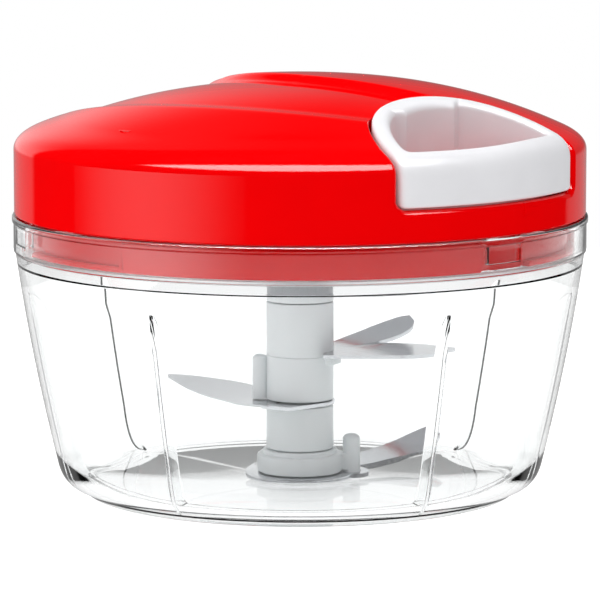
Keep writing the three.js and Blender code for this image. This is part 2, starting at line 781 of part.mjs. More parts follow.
// The winding ends one turn's height under the run to the lid, so that it turns clear of it
function makeCordWinding() {
  const points = [];
  const steps = Math.round(cordTurns * windingSteps);
  const top = cordLevel - cordTurnHeight;
  for (let s = 0; s <= steps; s += 1) {
    const angle = leaveAngle - (s / windingSteps) * 2 * Math.PI;
    const z = top - (cordTurnHeight * s) / windingSteps;
    points.push(new THREE.Vector3(cordDrumRadius * Math.cos(angle), cordDrumRadius * Math.sin(angle), z));
  }
  printLeastGap(points);
  return tube(points, cordRadius, steps, windingSides);
}

function makeCordSpan() {
  const end = new THREE.Vector3(eyeletX - pocketWall - cordRadius, 0, cordLevel);
  const along = end.clone().sub(leavePoint).normalize();
  const start = leavePoint.clone().addScaledVector(along, cordRadius);
  end.addScaledVector(along, -cordRadius);
  return tube([start, start.clone().lerp(end, 1 / 2), end], cordRadius, 3, cordSides);
}

function makeCordLead() {
  const start = eyeletX - pocketWall - cordRadius;
  return crossDisc(cordRadius, start, knotX - knotRadius - seatGap);
}

function makeCordKnot() {
  const knot = new THREE.SphereGeometry(knotRadius, smallTurn, smallTurn / 2);
  return solid(knot.translate(knotX, 0, cordLevel));
}

function makeEyelet() {
  const start = eyeletX - pocketWall / 2 - eyeletLip;
  const end = eyeletX + pocketWall / 2;
  const body = crossDisc(eyeletRadius, start, end);
  const lip = crossDisc(eyeletRadius + eyeletLip, start - eyeletLip, start + seatGap / 2);
  return body.add(lip).subtract(crossDisc(eyeletBore, start - overrun, end + overrun));
}

// Return spring: a flat strip wound in a spiral in the reel's well
function makeSpring() {
  const outer = drumRadius - drumWall - seatGap - springStrip;
  const turnWidth = (outer - springInnerRadius) / springTurns;
  const inside = [];
  const outside = [];
  for (let s = 0; s <= springTurns * springSteps; s += 1) {
    const angle = (s / springSteps) * 2 * Math.PI;
    const radius = springInnerRadius + (turnWidth * s) / springSteps;
    const outer2 = radius + springStrip;
    inside.push(new THREE.Vector2(radius * Math.cos(angle), radius * Math.sin(angle)));
    outside.push(new THREE.Vector2(outer2 * Math.cos(angle), outer2 * Math.sin(angle)));
  }
  const bottom = webTop + flangeThickness + seatGap;
  return slab(new THREE.Shape([...outside, ...inside.reverse()]), bottom, drumTop - springTopGap);
}

// Mechanism cap: a plate over the reel with the arbor that holds the spring
function makeMechanismCap() {
  let cap = disc(capRadius, capBottom, capTop);
  cap = cap.add(disc(arborRadius, webTop + flangeThickness + seatGap, capBottom + seatGap));
  cap = cap.subtract(disc(axleRadius + seatGap, webTop, capTop + overrun, smallTurn));
  const screwHole = disc(screwPilotRadius, capBottom - overrun, capTop + overrun, smallTurn);
  for (let k = 0; k < postCount; k += 1) {
    cap = cap.subtract(outAlong(screwHole, postPlace, postTurn + (k / postCount) * fullTurn));
  }
  return cap;
}

function makeAxle() {
  const headBottom = capTop + seatGap;
  const headTop = headBottom + screwHeadHeight;
  const end = hubSocketTop + seatGap;
  return turned([
    [0, end], [axleRadius, end], [axleRadius, headBottom], [axleHeadRadius, headBottom],
    [axleHeadRadius, headTop], [0, headTop],
  ], smallTurn);
}

// A pan-head screw, head down, its shank rising
function makeCoverScrew(k) {
  const headTop = plateBottom - seatGap;
  const tip = headTop + coverScrewLength;
  const screw = turned([
    [0, headTop - screwHeadHeight], [screwHeadRadius, headTop - screwHeadEdge], [screwHeadRadius, headTop],
    [screwRadius, headTop], [screwRadius, tip - screwRadius], [0, tip],
  ], smallTurn);
  return outAlong(screw, coverBossPlace, coverBossTurn * (k + 1));
}

// The same screw, head up, through the mechanism cap
function makeCapScrew(k) {
  const headBottom = capTop + seatGap;
  const tip = headBottom - capScrewLength + seatGap * 2;
  const screw = turned([
    [0, tip], [screwRadius, tip + screwRadius], [screwRadius, headBottom], [screwHeadRadius, headBottom],
    [screwHeadRadius, headBottom + screwHeadEdge], [0, headBottom + screwHeadHeight],
  ], smallTurn);
  return outAlong(screw, postPlace, postTurn + (k / postCount) * fullTurn);
}

// Blade core: the inner post with its foot flange, and a peg that locks the lowest blade
function makeBladeCore() {
  const bore = pinRadius + runningGap;
  const recess = bossRadius + seatGap;
  const recessTop = floorTop + bossHeight + seatGap;
  const flangeBottom = lowerBladeTop + seatGap;
  const flangeTop = flangeBottom + baseFlangeHeight;
  const collarTop = flangeTop + baseCollarHeight;
  const top = sleeveTop - seatGap;
  const core = turned([
    [0, pinTop + seatGap], [bore, pinTop + seatGap], [bore, recessTop], [recess, recessTop],
    [recess, coreBottom], [coreRadius, coreBottom], [coreRadius, flangeBottom],
    [baseFlangeRadius, flangeBottom],
    [baseFlangeRadius, flangeTop], [baseCollarRadius, flangeTop], [baseCollarRadius, collarTop],
    [coreRadius, collarTop], [coreRadius, top], [0, top],
  ], coarseTurn);
  const earMiddle = (coreRadius + lowerPegPlace) / 2;
  const earLength = lowerPegPlace - coreRadius;
  const earLevel = (flangeBottom + flangeTop) / 2;
  const ear = block(earLength, lowerPegRadius * 2, baseFlangeHeight, earMiddle, 0, earLevel);
  const peg = pegAt(lowerPegRadius, lowerBladeLevel, flangeBottom + lowerPegHeight);
  return core.add(atTurn(ear, lowerPegTurn)).add(outAlong(peg, lowerPegPlace, lowerPegTurn));
}

function pegAt(radius, bottom, top) {
  const nose = radius * pegNoseShare;
  return turned([[0, bottom], [radius, bottom], [radius, top - nose], [nose, top], [0, top]], smallTurn);
}

const makeSleeve = (bottom, top) => ring(coreRadius + seatGap, sleeveRadius, bottom, top);

function makeLowerSleeve() {
  const collarTop = lowerBladeTop + seatGap + baseFlangeHeight + baseCollarHeight;
  return makeSleeve(collarTop + seatGap, middleBladeLevel - seatGap);
}

// Middle sleeve: a peg stands beside it, and a tab under the upper blade sets its turn
function makeMiddleSleeve() {
  const bottom = middleBladeTop + seatGap;
  const top = upperBladeLevel - seatGap;
  const peg = pegAt(pegRadius, bottom, top);
  const inner = (coreRadius + sleeveRadius) / 2;
  const tab = block(tabLength - inner, tabWidth, tabHeight, (tabLength + inner) / 2, 0, top - tabHeight / 2);
  return makeSleeve(bottom, top)
    .add(outAlong(peg, sleeveRadius + pegRadius - seatGap, middlePegTurn))
    .add(atTurn(tab, tabTurn));
}

const makeUpperSleeve = () => makeSleeve(upperBladeTop + seatGap, sleeveTop);

// Drive cap: the top of the stack, with the dogs that the hub turns
function makeDriveCap() {
  const bottom = sleeveTop + seatGap;
  const top = bottom + driveCapHeight;
  let cap = disc(sleeveRadius, bottom, top).add(disc(dogRootRadius, top - seatGap, top + dogHeight));
  for (let k = 0; k < dogCount; k += 1) {
    const start = (k / dogCount) * fullTurn - dogTurn / 2;
    cap = cap.add(wedge(dogRootRadius / 2, dogOuter, top - seatGap, top + dogHeight, start, start + dogTurn));
  }
  return cap;
}

// Arms, station by station: share of the length, leading and trailing edge as shares of the
// width, and the rise of each edge as a share of the arm's height
const finShares = [
  [0.15, 0.5, -0.5, 0, 0], [0.4, 0.53, -0.5, 0, 0], [0.6, 0.53, -0.5, 0, 0],
  [0.75, 0.46, -0.46, 0, 0], [0.86, 0.35, -0.32, 0, 0], [0.95, 0.22, -0.03, 0, 0],
  [1, 0.15, 0.12, 0, 0],
];
const scytheShares = [
  [0.02, 0.72, -0.32, 0, 0], [0.25, 0.74, -0.33, 0, 0], [0.35, 0.66, -0.31, 0, 0.25],
  [0.5, 0.54, -0.28, 0.05, 0.6], [0.7, 0.36, -0.2, 0.3, 0.85], [0.87, 0.18, -0.1, 0.7, 1],
  [1, 0.02, -0.01, 1, 1],
];
const hornShares = [
  [0.15, 0.5, -0.5, 0, 0], [0.28, 0.5, -0.5, 0, 0], [0.5, 0.6, -0.42, 0.4, 0.02],
  [0.7, 0.66, -0.34, 0.7, 0.1], [0.85, 0.66, -0.34, 0.9, 0.27], [0.95, 0.52, -0.24, 0.99, 0.48],
  [1, 0.3, 0, 1, 0.7],
];

// The plate's under face is bevelled up to its leading edge
function arm(stationShares, length, width, height) {
  const sections = stationShares.map(([alongShare, leadShare, trailShare, leadRiseShare, trailRiseShare]) => {
    const x = length * alongShare;
    const [lead, trail] = [width * leadShare, width * trailShare];
    const [leadRise, trailRise] = [height * leadRiseShare, height * trailRiseShare];
    const bevel = Math.min(edgeBevel, (lead - trail) / 2);
    const riseAt = (y) => trailRise + ((leadRise - trailRise) * (y - trail)) / (lead - trail);
    return [
      new THREE.Vector3(x, trail, trailRise),
      new THREE.Vector3(x, lead - bevel, riseAt(lead - bevel)),
      new THREE.Vector3(x, lead, leadRise + bladeThickness - edgeThickness),
      new THREE.Vector3(x, lead, leadRise + bladeThickness),
      new THREE.Vector3(x, trail, trailRise + bladeThickness),
    ];
  });
  return lofted(sections);
}

function bladePlate(level, arms) {
  const plate = joined([disc(bladeHubRadius, 0, bladeThickness), ...arms]);
  return lifted(plate.subtract(disc(coreRadius + seatGap, -overrun, bladeThickness + overrun)), level);
}

function makeUpperBlade() {
  const fin = arm(finShares, finLength, finWidth, 0);
  const horn = arm(hornShares, upperHornLength, hornWidth, hornHeight);
  return bladePlate(upperBladeLevel, [atTurn(fin, finTurn), atTurn(horn, upperHornTurn)]);
}

function makeMiddleBlade() {
  const scythe = arm(scytheShares, scytheLength, scytheWidth, scytheHeight);
  return bladePlate(middleBladeLevel, [atTurn(scythe, scytheTurn)]);
}

function makeLowerBlade() {
  const horn = arm(hornShares, lowerHornLength, hornWidth, hornHeight);
  const eye = outAlong(disc(lowerPegRadius * 2, 0, bladeThickness, smallTurn), lowerPegPlace, lowerPegTurn);
  const plate = bladePlate(lowerBladeLevel, [atTurn(horn, lowerHornTurn), eye]);
  const pegHole = disc(lowerPegRadius + seatGap, 0, pinTop, smallTurn);
  return plate.subtract(outAlong(pegHole, lowerPegPlace, lowerPegTurn));
}

// Finishes
const finishes = {
  clear: { color: 0xf2f4f5, roughness: 0.05, metalness: 0, transparent: true, opacity: 0.25 },
  red: { color: 0xe60a10, roughness: 0.15, metalness: 0 },
  white: { color: 0xeeeef0, roughness: 0.3, metalness: 0 },
  grey: { color: 0x9a9a9c, roughness: 0.35, metalness: 0.2 },
  steel: { color: 0xb9bbbd, roughness: 0.22, metalness: 1 },
  dark: { color: 0x3a3b3d, roughness: 0.5, metalness: 0 },
  silicone: { color: 0xe9ecec, roughness: 0.6, metalness: 0 },
  cord: { color: 0xf0efe9, roughness: 0.9, metalness: 0 },
};

const chopper = new THREE.Group();

function place(name, finish, body) {
  const mesh = new THREE.Mesh(geometryOf(body), new THREE.MeshStandardMaterial(finishes[finish]));
  mesh.name = name;
  chopper.add(mesh);
}

place('bowl', 'clear', makeBowl());
place('spindle_pin', 'steel', makeSpindlePin());
place('blade_core', 'white', makeBladeCore());
place('lower_sleeve', 'white', makeLowerSleeve());
place('middle_sleeve', 'white', makeMiddleSleeve());
place('upper_sleeve', 'white', makeUpperSleeve());
place('drive_cap', 'grey', makeDriveCap());
place('lower_blade', 'steel', makeLowerBlade());
place('middle_blade', 'steel', makeMiddleBlade());
place('upper_blade', 'steel', makeUpperBlade());
place('lid_cover', 'red', makeCover());
place('lid_base', 'red', makeLidBase());
place('lid_seal', 'silicone', makeSeal());
place('pull_handle', 'white', makeHandle());
place('drive_hub', 'white', makeDriveHub());
place('thrust_washer', 'white', makeWasher());
place('reel', 'white', makeReel());
place('cord_winding', 'cord', makeCordWinding());
place('cord_span', 'cord', makeCordSpan());
place('cord_lead', 'cord', makeCordLead());
place('cord_knot', 'cord', makeCordKnot());
place('cord_eyelet', 'steel', makeEyelet());
place('return_spring', 'steel', makeSpring());
place('mechanism_cap', 'dark', makeMechanismCap());
place('axle', 'steel', makeAxle());
for (let k = 0; k < pawlCount; k += 1) {
  place(`pawl_${k + 1}`, 'dark', makePawl(k));
  place(`pawl_pin_${k + 1}`, 'steel', makePawlPin(k));
}
for (let k = 0; k < coverBossCount; k += 1) place(`cover_screw_${k + 1}`, 'steel', makeCoverScrew(k));
for (let k = 0; k < postCount; k += 1) place(`cap_screw_${k + 1}`, 'steel', makeCapScrew(k));

export default chopper;
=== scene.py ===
"""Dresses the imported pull-cord food chopper.

Every length is in metres and every place is in the CAD frame: the centre of the foot ring is
the origin, +Z is up, and the handle is pulled out along +X.
"""
import math

import bmesh
import bpy
from bpy.props import FloatProperty, FloatVectorProperty, IntProperty, PointerProperty
from bpy.types import Operator, Panel, PropertyGroup
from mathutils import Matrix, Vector


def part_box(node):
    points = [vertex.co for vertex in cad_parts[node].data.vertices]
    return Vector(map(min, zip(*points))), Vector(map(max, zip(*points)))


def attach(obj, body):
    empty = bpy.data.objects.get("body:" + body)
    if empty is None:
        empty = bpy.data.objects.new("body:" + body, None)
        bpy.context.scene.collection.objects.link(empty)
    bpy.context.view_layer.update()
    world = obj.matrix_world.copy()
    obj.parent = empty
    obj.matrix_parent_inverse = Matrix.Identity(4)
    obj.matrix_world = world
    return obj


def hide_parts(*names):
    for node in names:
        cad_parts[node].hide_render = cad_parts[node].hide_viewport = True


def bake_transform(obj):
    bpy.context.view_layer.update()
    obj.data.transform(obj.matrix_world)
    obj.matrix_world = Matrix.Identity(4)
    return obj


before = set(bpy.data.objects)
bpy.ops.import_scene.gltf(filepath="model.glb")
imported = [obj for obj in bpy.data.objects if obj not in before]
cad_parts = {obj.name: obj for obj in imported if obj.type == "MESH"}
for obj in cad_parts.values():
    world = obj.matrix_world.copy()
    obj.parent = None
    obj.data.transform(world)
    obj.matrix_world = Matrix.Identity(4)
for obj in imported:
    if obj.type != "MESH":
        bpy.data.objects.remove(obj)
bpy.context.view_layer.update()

bl_info = {
    "name": "Pull-cord food chopper",
    "version": (1, 0, 0),
    "blender": (4, 5, 0),
    "location": "View3D > Sidebar > Chopper",
    "description": "Models a pull-cord food chopper piece by piece over its packed frame",
    "category": "Add Mesh",
}

MM = 0.001
RIM_RADIUS, _, BOWL_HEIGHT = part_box("bowl")[1]
LID_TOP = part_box("lid_cover")[1][2]

# Places and sizes that more than one piece shares
PIN_BORE = 3.3 * MM
SCREW_BORE = 1.8 * MM
COVER_SCREW_INSET = 17.4 * MM
COVER_SCREW_TURNS = (90, 180, 270)
FLANGE_HEIGHT = 3.9 * MM
EAR_TURN = 46
EAR_PEG_PLACE = 14.4 * MM


def linear(code):
    """Turns an sRGB hex colour into the linear red, green and blue that Blender works in."""
    parts = [int(code[k:k + 2], 16) / 255 for k in (0, 2, 4)]
    return tuple(p / 12.92 if p <= 0.04045 else ((p + 0.055) / 1.055) ** 2.4 for p in parts)


def length(name, description, default):
    """A length that a user may change."""
    return FloatProperty(
        name=name, description=description, default=default,
        unit="LENGTH", subtype="DISTANCE", precision=4,
    )


def turn(name, description, default):
    """An angle in degrees that a user may change."""
    return FloatProperty(name=name, description=description, default=default)


def colour(name, description, code):
    """A colour that a user may change, given as sRGB hex."""
    return FloatVectorProperty(
        name=name, description=description, default=linear(code),
        subtype="COLOR", min=0, max=1, size=3,
    )


class BowlSizes(PropertyGroup):
    """Sizes of the clear bowl."""

    rim_radius: length("Rim radius", "Widest radius, at the bead of the rim", RIM_RADIUS)
    height: length("Height", "Table to the top of the rim", BOWL_HEIGHT)
    wall: length("Wall", "Thickness of the side wall", 2.3 * MM)
    collar_wall: length("Collar wall", "Thickness of the collar", 2.5 * MM)
    collar_height: length("Collar height", "Rim to the step under the collar", 9.8 * MM)
    ledge_width: length("Ledge width", "How far the ledge under the collar stands in", 1.1 * MM)
    ledge_drop: length("Ledge drop", "Step under the collar to the ledge", 3.2 * MM)
    foot_radius: length("Foot radius", "Outer radius of the foot ring", 60 * MM)
    foot_width: length("Foot width", "Width of the foot ring", 2.4 * MM)
    underside: length("Underside", "Height of the floor's under face", 2 * MM)
    floor: length("Floor", "Thickness of the floor", 2 * MM)
    rib_depth: length("Rib depth", "How far a rib stands into the bowl", 4.6 * MM)
    rib_thickness: length("Rib thickness", "Thickness of a rib at the wall", 1.4 * MM)
    rib_top: length("Rib top", "Height where a rib runs out into the wall", BOWL_HEIGHT - 19.6 * MM)
    lug_depth: length("Lug depth", "How far a bayonet lug stands into the collar", 1.5 * MM)
    lug_height: length("Lug height", "Height of a bayonet lug", 5.2 * MM)


class LidSizes(PropertyGroup):
    """Sizes of the lid's shell, its pocket and its base."""

    wall_radius: length("Wall radius", "Outer radius of the lid's wall", RIM_RADIUS - 0.6 * MM)
    wall: length("Wall", "Thickness of the shell", 2.3 * MM)
    top: length("Top", "Height of the crown", LID_TOP)
    dome_radius: length("Dome radius", "Radius of the shallow sphere on top", 198 * MM)
    shoulder_width: length("Shoulder width", "Width of the rounded shoulder", 4.8 * MM)
    shoulder_drop: length("Shoulder drop", "Height of the rounded shoulder", 5.4 * MM)
    valley_depth: length("Valley depth", "Depth of the valley between the lobes", 2.2 * MM)
    front_drop: length("Front drop", "Step down from the far lobe to the crescent", 0.5 * MM)
    pocket_gap: length("Pocket gap", "Gap round the handle", 0.7 * MM)
    pocket_wall: length("Pocket wall", "Thickness of the pocket's walls", 1.8 * MM)
    pocket_floor: length("Pocket floor", "Thickness of the pocket's floor", 2 * MM)
    pocket_edge: length("Pocket edge", "Radius of the pocket's rounded edge", 1.7 * MM)
    skirt_wall: length("Skirt wall", "Thickness of the skirt inside the bowl", 2.4 * MM)
    band_proud: length("Band proud", "How far the bayonet bands stand out", 1.8 * MM)


class HandleSizes(PropertyGroup):
    """Sizes of the pull handle and its cord."""

    nose_radius: length("Nose radius", "Outer radius of the loop's round nose", 32.8 * MM)
    finger_radius: length("Finger radius", "Radius of the finger hole", 27.8 * MM)
    front_width: length("Front width", "Thickness of the front bar", 6 * MM)
    nose_shift: length("Nose shift", "How much nearer the rim the nose is than in CAD", 4.2 * MM)
    far_lift: length("Far lift", "Rise of the handle's top on its far side", 0.9 * MM)
    rise: length("Rise", "Rim of the bowl to the handle's under face", 9.4 * MM)
    boss_depth: length("Boss depth", "How far the cord's boss stands into the hole", 2.4 * MM)
    boss_half_turn: turn("Boss half turn", "Half the angle that the cord's boss spans", 26)
    edge: length("Edge", "Radius of the handle's rounded edges", 1.9 * MM)
    cord_radius: length("Cord radius", "Radius of the braided cord", 1 * MM)
    cord_turn_height: length("Cord turn height", "Rise of the winding in one turn", 2.5 * MM)
    cord_turns: FloatProperty(name="Cord turns", description="Turns on the reel", default=2.4)


class StackSizes(PropertyGroup):
    """Sizes of the blade stack."""

    sleeve_radius: length("Sleeve radius", "Outer radius of the spacer sleeves", 9.4 * MM)
    core_radius: length("Core radius", "Radius of the inner post", 6.4 * MM)
    blade_thickness: length("Blade thickness", "Thickness of the blade sheet", 1 * MM)
    covered_hub: length("Covered hub", "Radius of the upper blade's hidden middle", 8.4 * MM)
    edge_bevel: length("Edge bevel", "Width of the ground cutting edge", 2.2 * MM)


class Finishes(PropertyGroup):
    """Colours of the plastics, the cord and the floor."""

    red: colour("Lid red", "Moulded ABS of the lid", "E80003")
    white: colour("White", "Moulded ABS of the handle and the dish", "E0E0E3")
    # Painted light: the post's white is lighter and bluer than the handle's, to offset the shade
    # under the lid and its red light
    bright: colour("Bright white", "Moulded acetal of the blade post", "F0F5F6")
    grey: colour("Grey", "Moulded nylon of the drive parts", "A3A6AA")
    dark: colour("Dark", "Moulded acetal of the pawls and the mechanism's cap", "3B3D42")
    clear: colour("Clear", "Tint of the clear bowl", "FDFEFE")
    steel: colour("Steel", "Stainless sheet and screws", "C9CBCE")
    cord: colour("Cord", "Braided polyester", "ECEBE6")
    floor: colour("Floor", "Opal studio floor, before its own light", "8C8C8C")


class StudioSizes(PropertyGroup):
    """The camera's place and the studio round the chopper."""

    azimuth: turn("Azimuth", "Turn of the camera round the chopper", 45.8)
    pitch: turn("Pitch", "How far the camera looks down", 7.86)
    distance: length("Distance", "Level distance from the axis to the camera", 1.167)
    height: length("Height", "Height of the camera", 0.214)
    lens: FloatProperty(name="Lens", description="Focal length in millimetres", default=253.3)
    floor_radius: length("Floor radius", "Radius of the round floor sheet", 0.55)
    softbox_power: FloatProperty(
        name="Softbox power", description="Power of the lamp above, in watts", default=12,
    )
    fine_turn: IntProperty(name="Fine turn", description="Facets of a large round", default=192)
    small_turn: IntProperty(name="Small turn", description="Facets of a small round", default=64)


class Chopper(PropertyGroup):
    """All sizes and finishes of the chopper."""

    bowl: PointerProperty(type=BowlSizes)
    lid: PointerProperty(type=LidSizes)
    handle: PointerProperty(type=HandleSizes)
    stack: PointerProperty(type=StackSizes)
    finishes: PointerProperty(type=Finishes)
    studio: PointerProperty(type=StudioSizes)


# Modelling helpers


def only(obj):
    """Selects one object alone and makes it active."""
    bpy.ops.object.select_all(action="DESELECT")
    obj.select_set(True)
    bpy.context.view_layer.objects.active = obj


def bowed(start, control, end, steps):
    """Points of the curve from start to end that leans towards control."""
    points = []
    for s in range(steps + 1):
        t = s / steps
        points.append(tuple(
            a * (1 - t) ** 2 + c * 2 * t * (1 - t) + b * t ** 2
            for a, c, b in zip(start, control, end)
        ))
    return points


def rounded(corners, steps=4):
    """An outline through corners of (radius, height, blend), each corner rounded by its blend."""
    outline = []
    for k, (r, z, blend) in enumerate(corners):
        if blend == 0:
            outline.append((r, z))
            continue
        here = Vector((r, z))
        back = Vector(corners[k - 1][:2]) - here
        on = Vector(corners[(k + 1) % len(corners)][:2]) - here
        half = back.angle(on) / 2
        reach = min(blend / math.tan(half), back.length / 2, on.length / 2)
        back.normalize()
        on.normalize()
        centre = here + (back + on).normalized() * (reach / math.cos(half))
        first = here + back * reach - centre
        last = here + on * reach - centre
        for s in range(steps + 1):
            t = s / steps
            arc = (first * (1 - t) + last * t).normalized() * first.length
            outline.append(tuple(centre + arc))
    return outline


def lathe(name, outline, steps, start=0.0, sweep=360.0):
    """Spins an outline of (radius, height) points about the upright axis, closing any cut ends."""
    bpy.ops.object.select_all(action="DESELECT")
    bpy.ops.mesh.primitive_plane_add(size=0.01, location=(0, 0, 0))
    obj = bpy.context.active_object
    obj.name = name
    obj.data.name = name
    bpy.ops.object.mode_set(mode="EDIT")
    bpy.ops.mesh.merge(type="CENTER")
    bpy.ops.transform.translate(value=(outline[0][0], 0, outline[0][1]))
    for (ra, za), (rb, zb) in zip(outline, outline[1:]):
        bpy.ops.mesh.extrude_vertices_move(TRANSFORM_OT_translate={"value": (rb - ra, 0, zb - za)})
    bpy.ops.mesh.select_all(action="SELECT")
    bpy.ops.mesh.remove_doubles(threshold=1e-6)
    bpy.ops.mesh.spin(steps=steps, angle=math.radians(-sweep), center=(0, 0, 0), axis=(0, 0, 1))
    bpy.ops.mesh.select_all(action="SELECT")
    bpy.ops.mesh.remove_doubles(threshold=1e-6)
    if sweep < 360:
        bpy.ops.mesh.fill_holes(sides=0)
        bpy.ops.mesh.select_all(action="SELECT")
    bpy.ops.mesh.normals_make_consistent(inside=False)
    bpy.ops.object.mode_set(mode="OBJECT")
    if start:
        turn_about_axis(obj, start)
    return obj


def closed(outline):
    """An outline that ends where it starts."""
    return outline + [outline[0]]


def rod(name, radius, low, high, steps):
    """A plain round rod about the upright axis."""
    return lathe(name, [(0, low), (radius, low), (radius, high), (0, high)], steps)


def block(size, place, edge):
    """A block with rounded edges."""
    bpy.ops.object.select_all(action="DESELECT")
    bpy.ops.mesh.primitive_cube_add(size=1, location=place)
    obj = bpy.context.active_object
    obj.scale = size
    bpy.ops.object.transform_apply(location=True, rotation=False, scale=True)
    bpy.ops.object.mode_set(mode="EDIT")
    bpy.ops.mesh.select_all(action="SELECT")
    bpy.ops.mesh.bevel(offset=edge, segments=3)
    bpy.ops.object.mode_set(mode="OBJECT")
    return obj


def turn_about_axis(obj, degrees):
    """Turns a piece's mesh about the upright axis."""
    only(obj)
    obj.rotation_euler = (0, 0, math.radians(degrees))
    bpy.ops.object.transform_apply(location=False, rotation=True, scale=False)


def shift(obj, x, y, z):
    """Moves a piece's mesh."""
    only(obj)
    obj.location = (x, y, z)
    bpy.ops.object.transform_apply(location=True, rotation=False, scale=False)


def set_out(obj, radius, degrees):
    """Moves a piece out from the axis along X and turns it round the axis."""
    shift(obj, radius, 0, 0)
    turn_about_axis(obj, degrees)


def lay_along_x(obj, x, z):
    """Lays an upright piece along X, its foot at a place on the X axis."""
    only(obj)
    obj.rotation_euler = (0, math.pi / 2, 0)
    obj.location = (x, 0, z)
    bpy.ops.object.transform_apply(location=True, rotation=True, scale=False)


def settle(shape, name):
    """Turns a bmesh into a piece, its faces all turned outwards."""
    bmesh.ops.recalc_face_normals(shape, faces=shape.faces)
    mesh = bpy.data.meshes.new(name)
    shape.to_mesh(mesh)
    shape.free()
    obj = bpy.data.objects.new(name, mesh)
    bpy.context.scene.collection.objects.link(obj)
    return obj


def skin(name, rings, looped=False):
    """A closed skin through rings of equal point count, capped at its ends unless it is looped.

    Spin and extrude can't follow sections that change from one to the next, so this one does.
    """
    shape = bmesh.new()
    rows = [[shape.verts.new(p) for p in ring] for ring in rings]
    pairs = list(zip(rows, rows[1:]))
    if looped:
        pairs.append((rows[-1], rows[0]))
    for low, high in pairs:
        for k in range(len(low)):
            on = (k + 1) % len(low)
            shape.faces.new((low[k], low[on], high[on], high[k]))
    if not looped:
        shape.faces.new(rows[0])
        shape.faces.new(rows[-1])
    return settle(shape, name)


def combine(obj, other, operation):
    """Adds, cuts or keeps the overlap with another piece, which is used up."""
    only(obj)
    step = obj.modifiers.new("combine", "BOOLEAN")
    step.operation = operation
    step.solver = "EXACT"
    step.object = other
    bpy.ops.object.modifier_apply(modifier=step.name)
    mesh = other.data
    bpy.data.objects.remove(other)
    bpy.data.meshes.remove(mesh)


def smooth_by(obj, degrees):
    """Shades a piece smooth, with edges steeper than the angle kept crisp."""
    only(obj)
    bpy.ops.object.shade_smooth_by_angle(angle=math.radians(degrees))


def even_shading(obj):
    """Lets a piece's broad faces set the shading, so that narrow cut faces leave no streaks."""
    only(obj)
    even = obj.modifiers.new("even", "WEIGHTED_NORMAL")
    even.keep_sharp = True
    bpy.ops.object.modifier_apply(modifier=even.name)


def finish_piece(obj, material, body, nodes, crisp=35):
    """Gives a piece its finish and its body, and hides the CAD nodes that it stands for."""
    obj.data.materials.clear()
    obj.data.materials.append(material)
    smooth_by(obj, crisp)
    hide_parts(*nodes)
    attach(obj, body)


def step_up(t):
    """An even rise from 0 to 1 as t goes from 0 to 1."""
    t = min(max(t, 0.0), 1.0)
    return t * t * (3 - 2 * t)


# Finishes


def add(tree, kind, settings=None, links=None):
    """Adds a node with its settings and what feeds it: a socket, or a node's first output."""
    node = tree.nodes.new(kind)
    for name, value in (settings or {}).items():
        if isinstance(name, int) or name in node.inputs:
            node.inputs[name].default_value = value
        else:
            setattr(node, name, value)
    for name, source in (links or {}).items():
        socket = source.outputs[0] if isinstance(source, bpy.types.Node) else source
        tree.links.new(socket, node.inputs[name])
    return node


def start_material(name):
    """An empty material with its output, or None where it was made before."""
    if name in bpy.data.materials:
        return bpy.data.materials[name], None, None
    material = bpy.data.materials.new(name)
    material.use_nodes = True
    tree = material.node_tree
    tree.nodes.clear()
    return material, tree, add(tree, "ShaderNodeOutputMaterial")


def moulded_plastic(name, tint, roughness, specular, waviness):
    """Injection-moulded plastic, with the faint waviness and the handling marks of its skin."""
    material, tree, output = start_material(name)
    if tree is None:
        return material
    place = add(tree, "ShaderNodeTexCoord").outputs["Object"]
    # Sink and flow marks of a moulded wall are about 12 mm apart, and haze spots about 1 mm
    flow = add(tree, "ShaderNodeTexNoise", {"Scale": 1 / (12 * MM), "Detail": 2.0}, {
        "Vector": place,
    })
    haze = add(tree, "ShaderNodeTexNoise", {"Scale": 1 / (1.2 * MM), "Detail": 3.0}, {
        "Vector": place,
    })
    rough = add(tree, "ShaderNodeMapRange", {
        "From Min": 0.3, "From Max": 0.7, "To Min": roughness * 0.94, "To Max": roughness * 1.06,
    }, {"Value": haze})
    shade = add(tree, "ShaderNodeMapRange", {
        "From Min": 0.3, "From Max": 0.7, "To Min": 0.985, "To Max": 1.015,
    }, {"Value": flow})
    pigment = add(tree, "ShaderNodeVectorMath", {"operation": "SCALE", 0: tint}, {"Scale": shade})
    bump = add(tree, "ShaderNodeBump", {"Strength": waviness, "Distance": 0.1 * MM}, {
        "Height": flow,
    })
    shader = add(tree, "ShaderNodeBsdfPrincipled", {"IOR": 1.53, "Specular IOR Level": specular}, {
        "Base Color": pigment, "Roughness": rough, "Normal": bump,
    })
    tree.links.new(shader.outputs["BSDF"], output.inputs["Surface"])
    return material


def red_abs():
    """Glossy moulded ABS, deep red: a clear lacquer-like skin over an even pigment."""
    return moulded_plastic(
        "glossy_moulded_abs_red", chopper().finishes.red,
        roughness=0.06, specular=0.2, waviness=0.03,
    )


def white_abs():
    """Satin moulded ABS, white: soft highlights that show the handle's rounded edges."""
    return moulded_plastic(
        "satin_moulded_abs_white", chopper().finishes.white,
        roughness=0.3, specular=0.25, waviness=0.02,
    )


def white_acetal():
    """Moulded acetal, white: the blade post, whose shading shows how round it is. Its white is
    painted light: lighter and bluer than the handle's, to offset the shade under the lid and the
    red light the lid throws on it.
    """
    return moulded_plastic(
        "moulded_acetal_white", chopper().finishes.bright,
        roughness=0.34, specular=0.5, waviness=0.02,
    )


def grey_nylon():
    """Moulded nylon, grey: a dull slippery surface for the drive parts."""
    return moulded_plastic(
        "moulded_nylon_grey", chopper().finishes.grey,
        roughness=0.34, specular=0.5, waviness=0.05,
    )


def dark_acetal():
    """Moulded acetal, near black: slightly waxy, for the pawls and the mechanism's cap."""
    return moulded_plastic(
        "moulded_acetal_dark", chopper().finishes.dark,
        roughness=0.38, specular=0.45, waviness=0.05,
    )


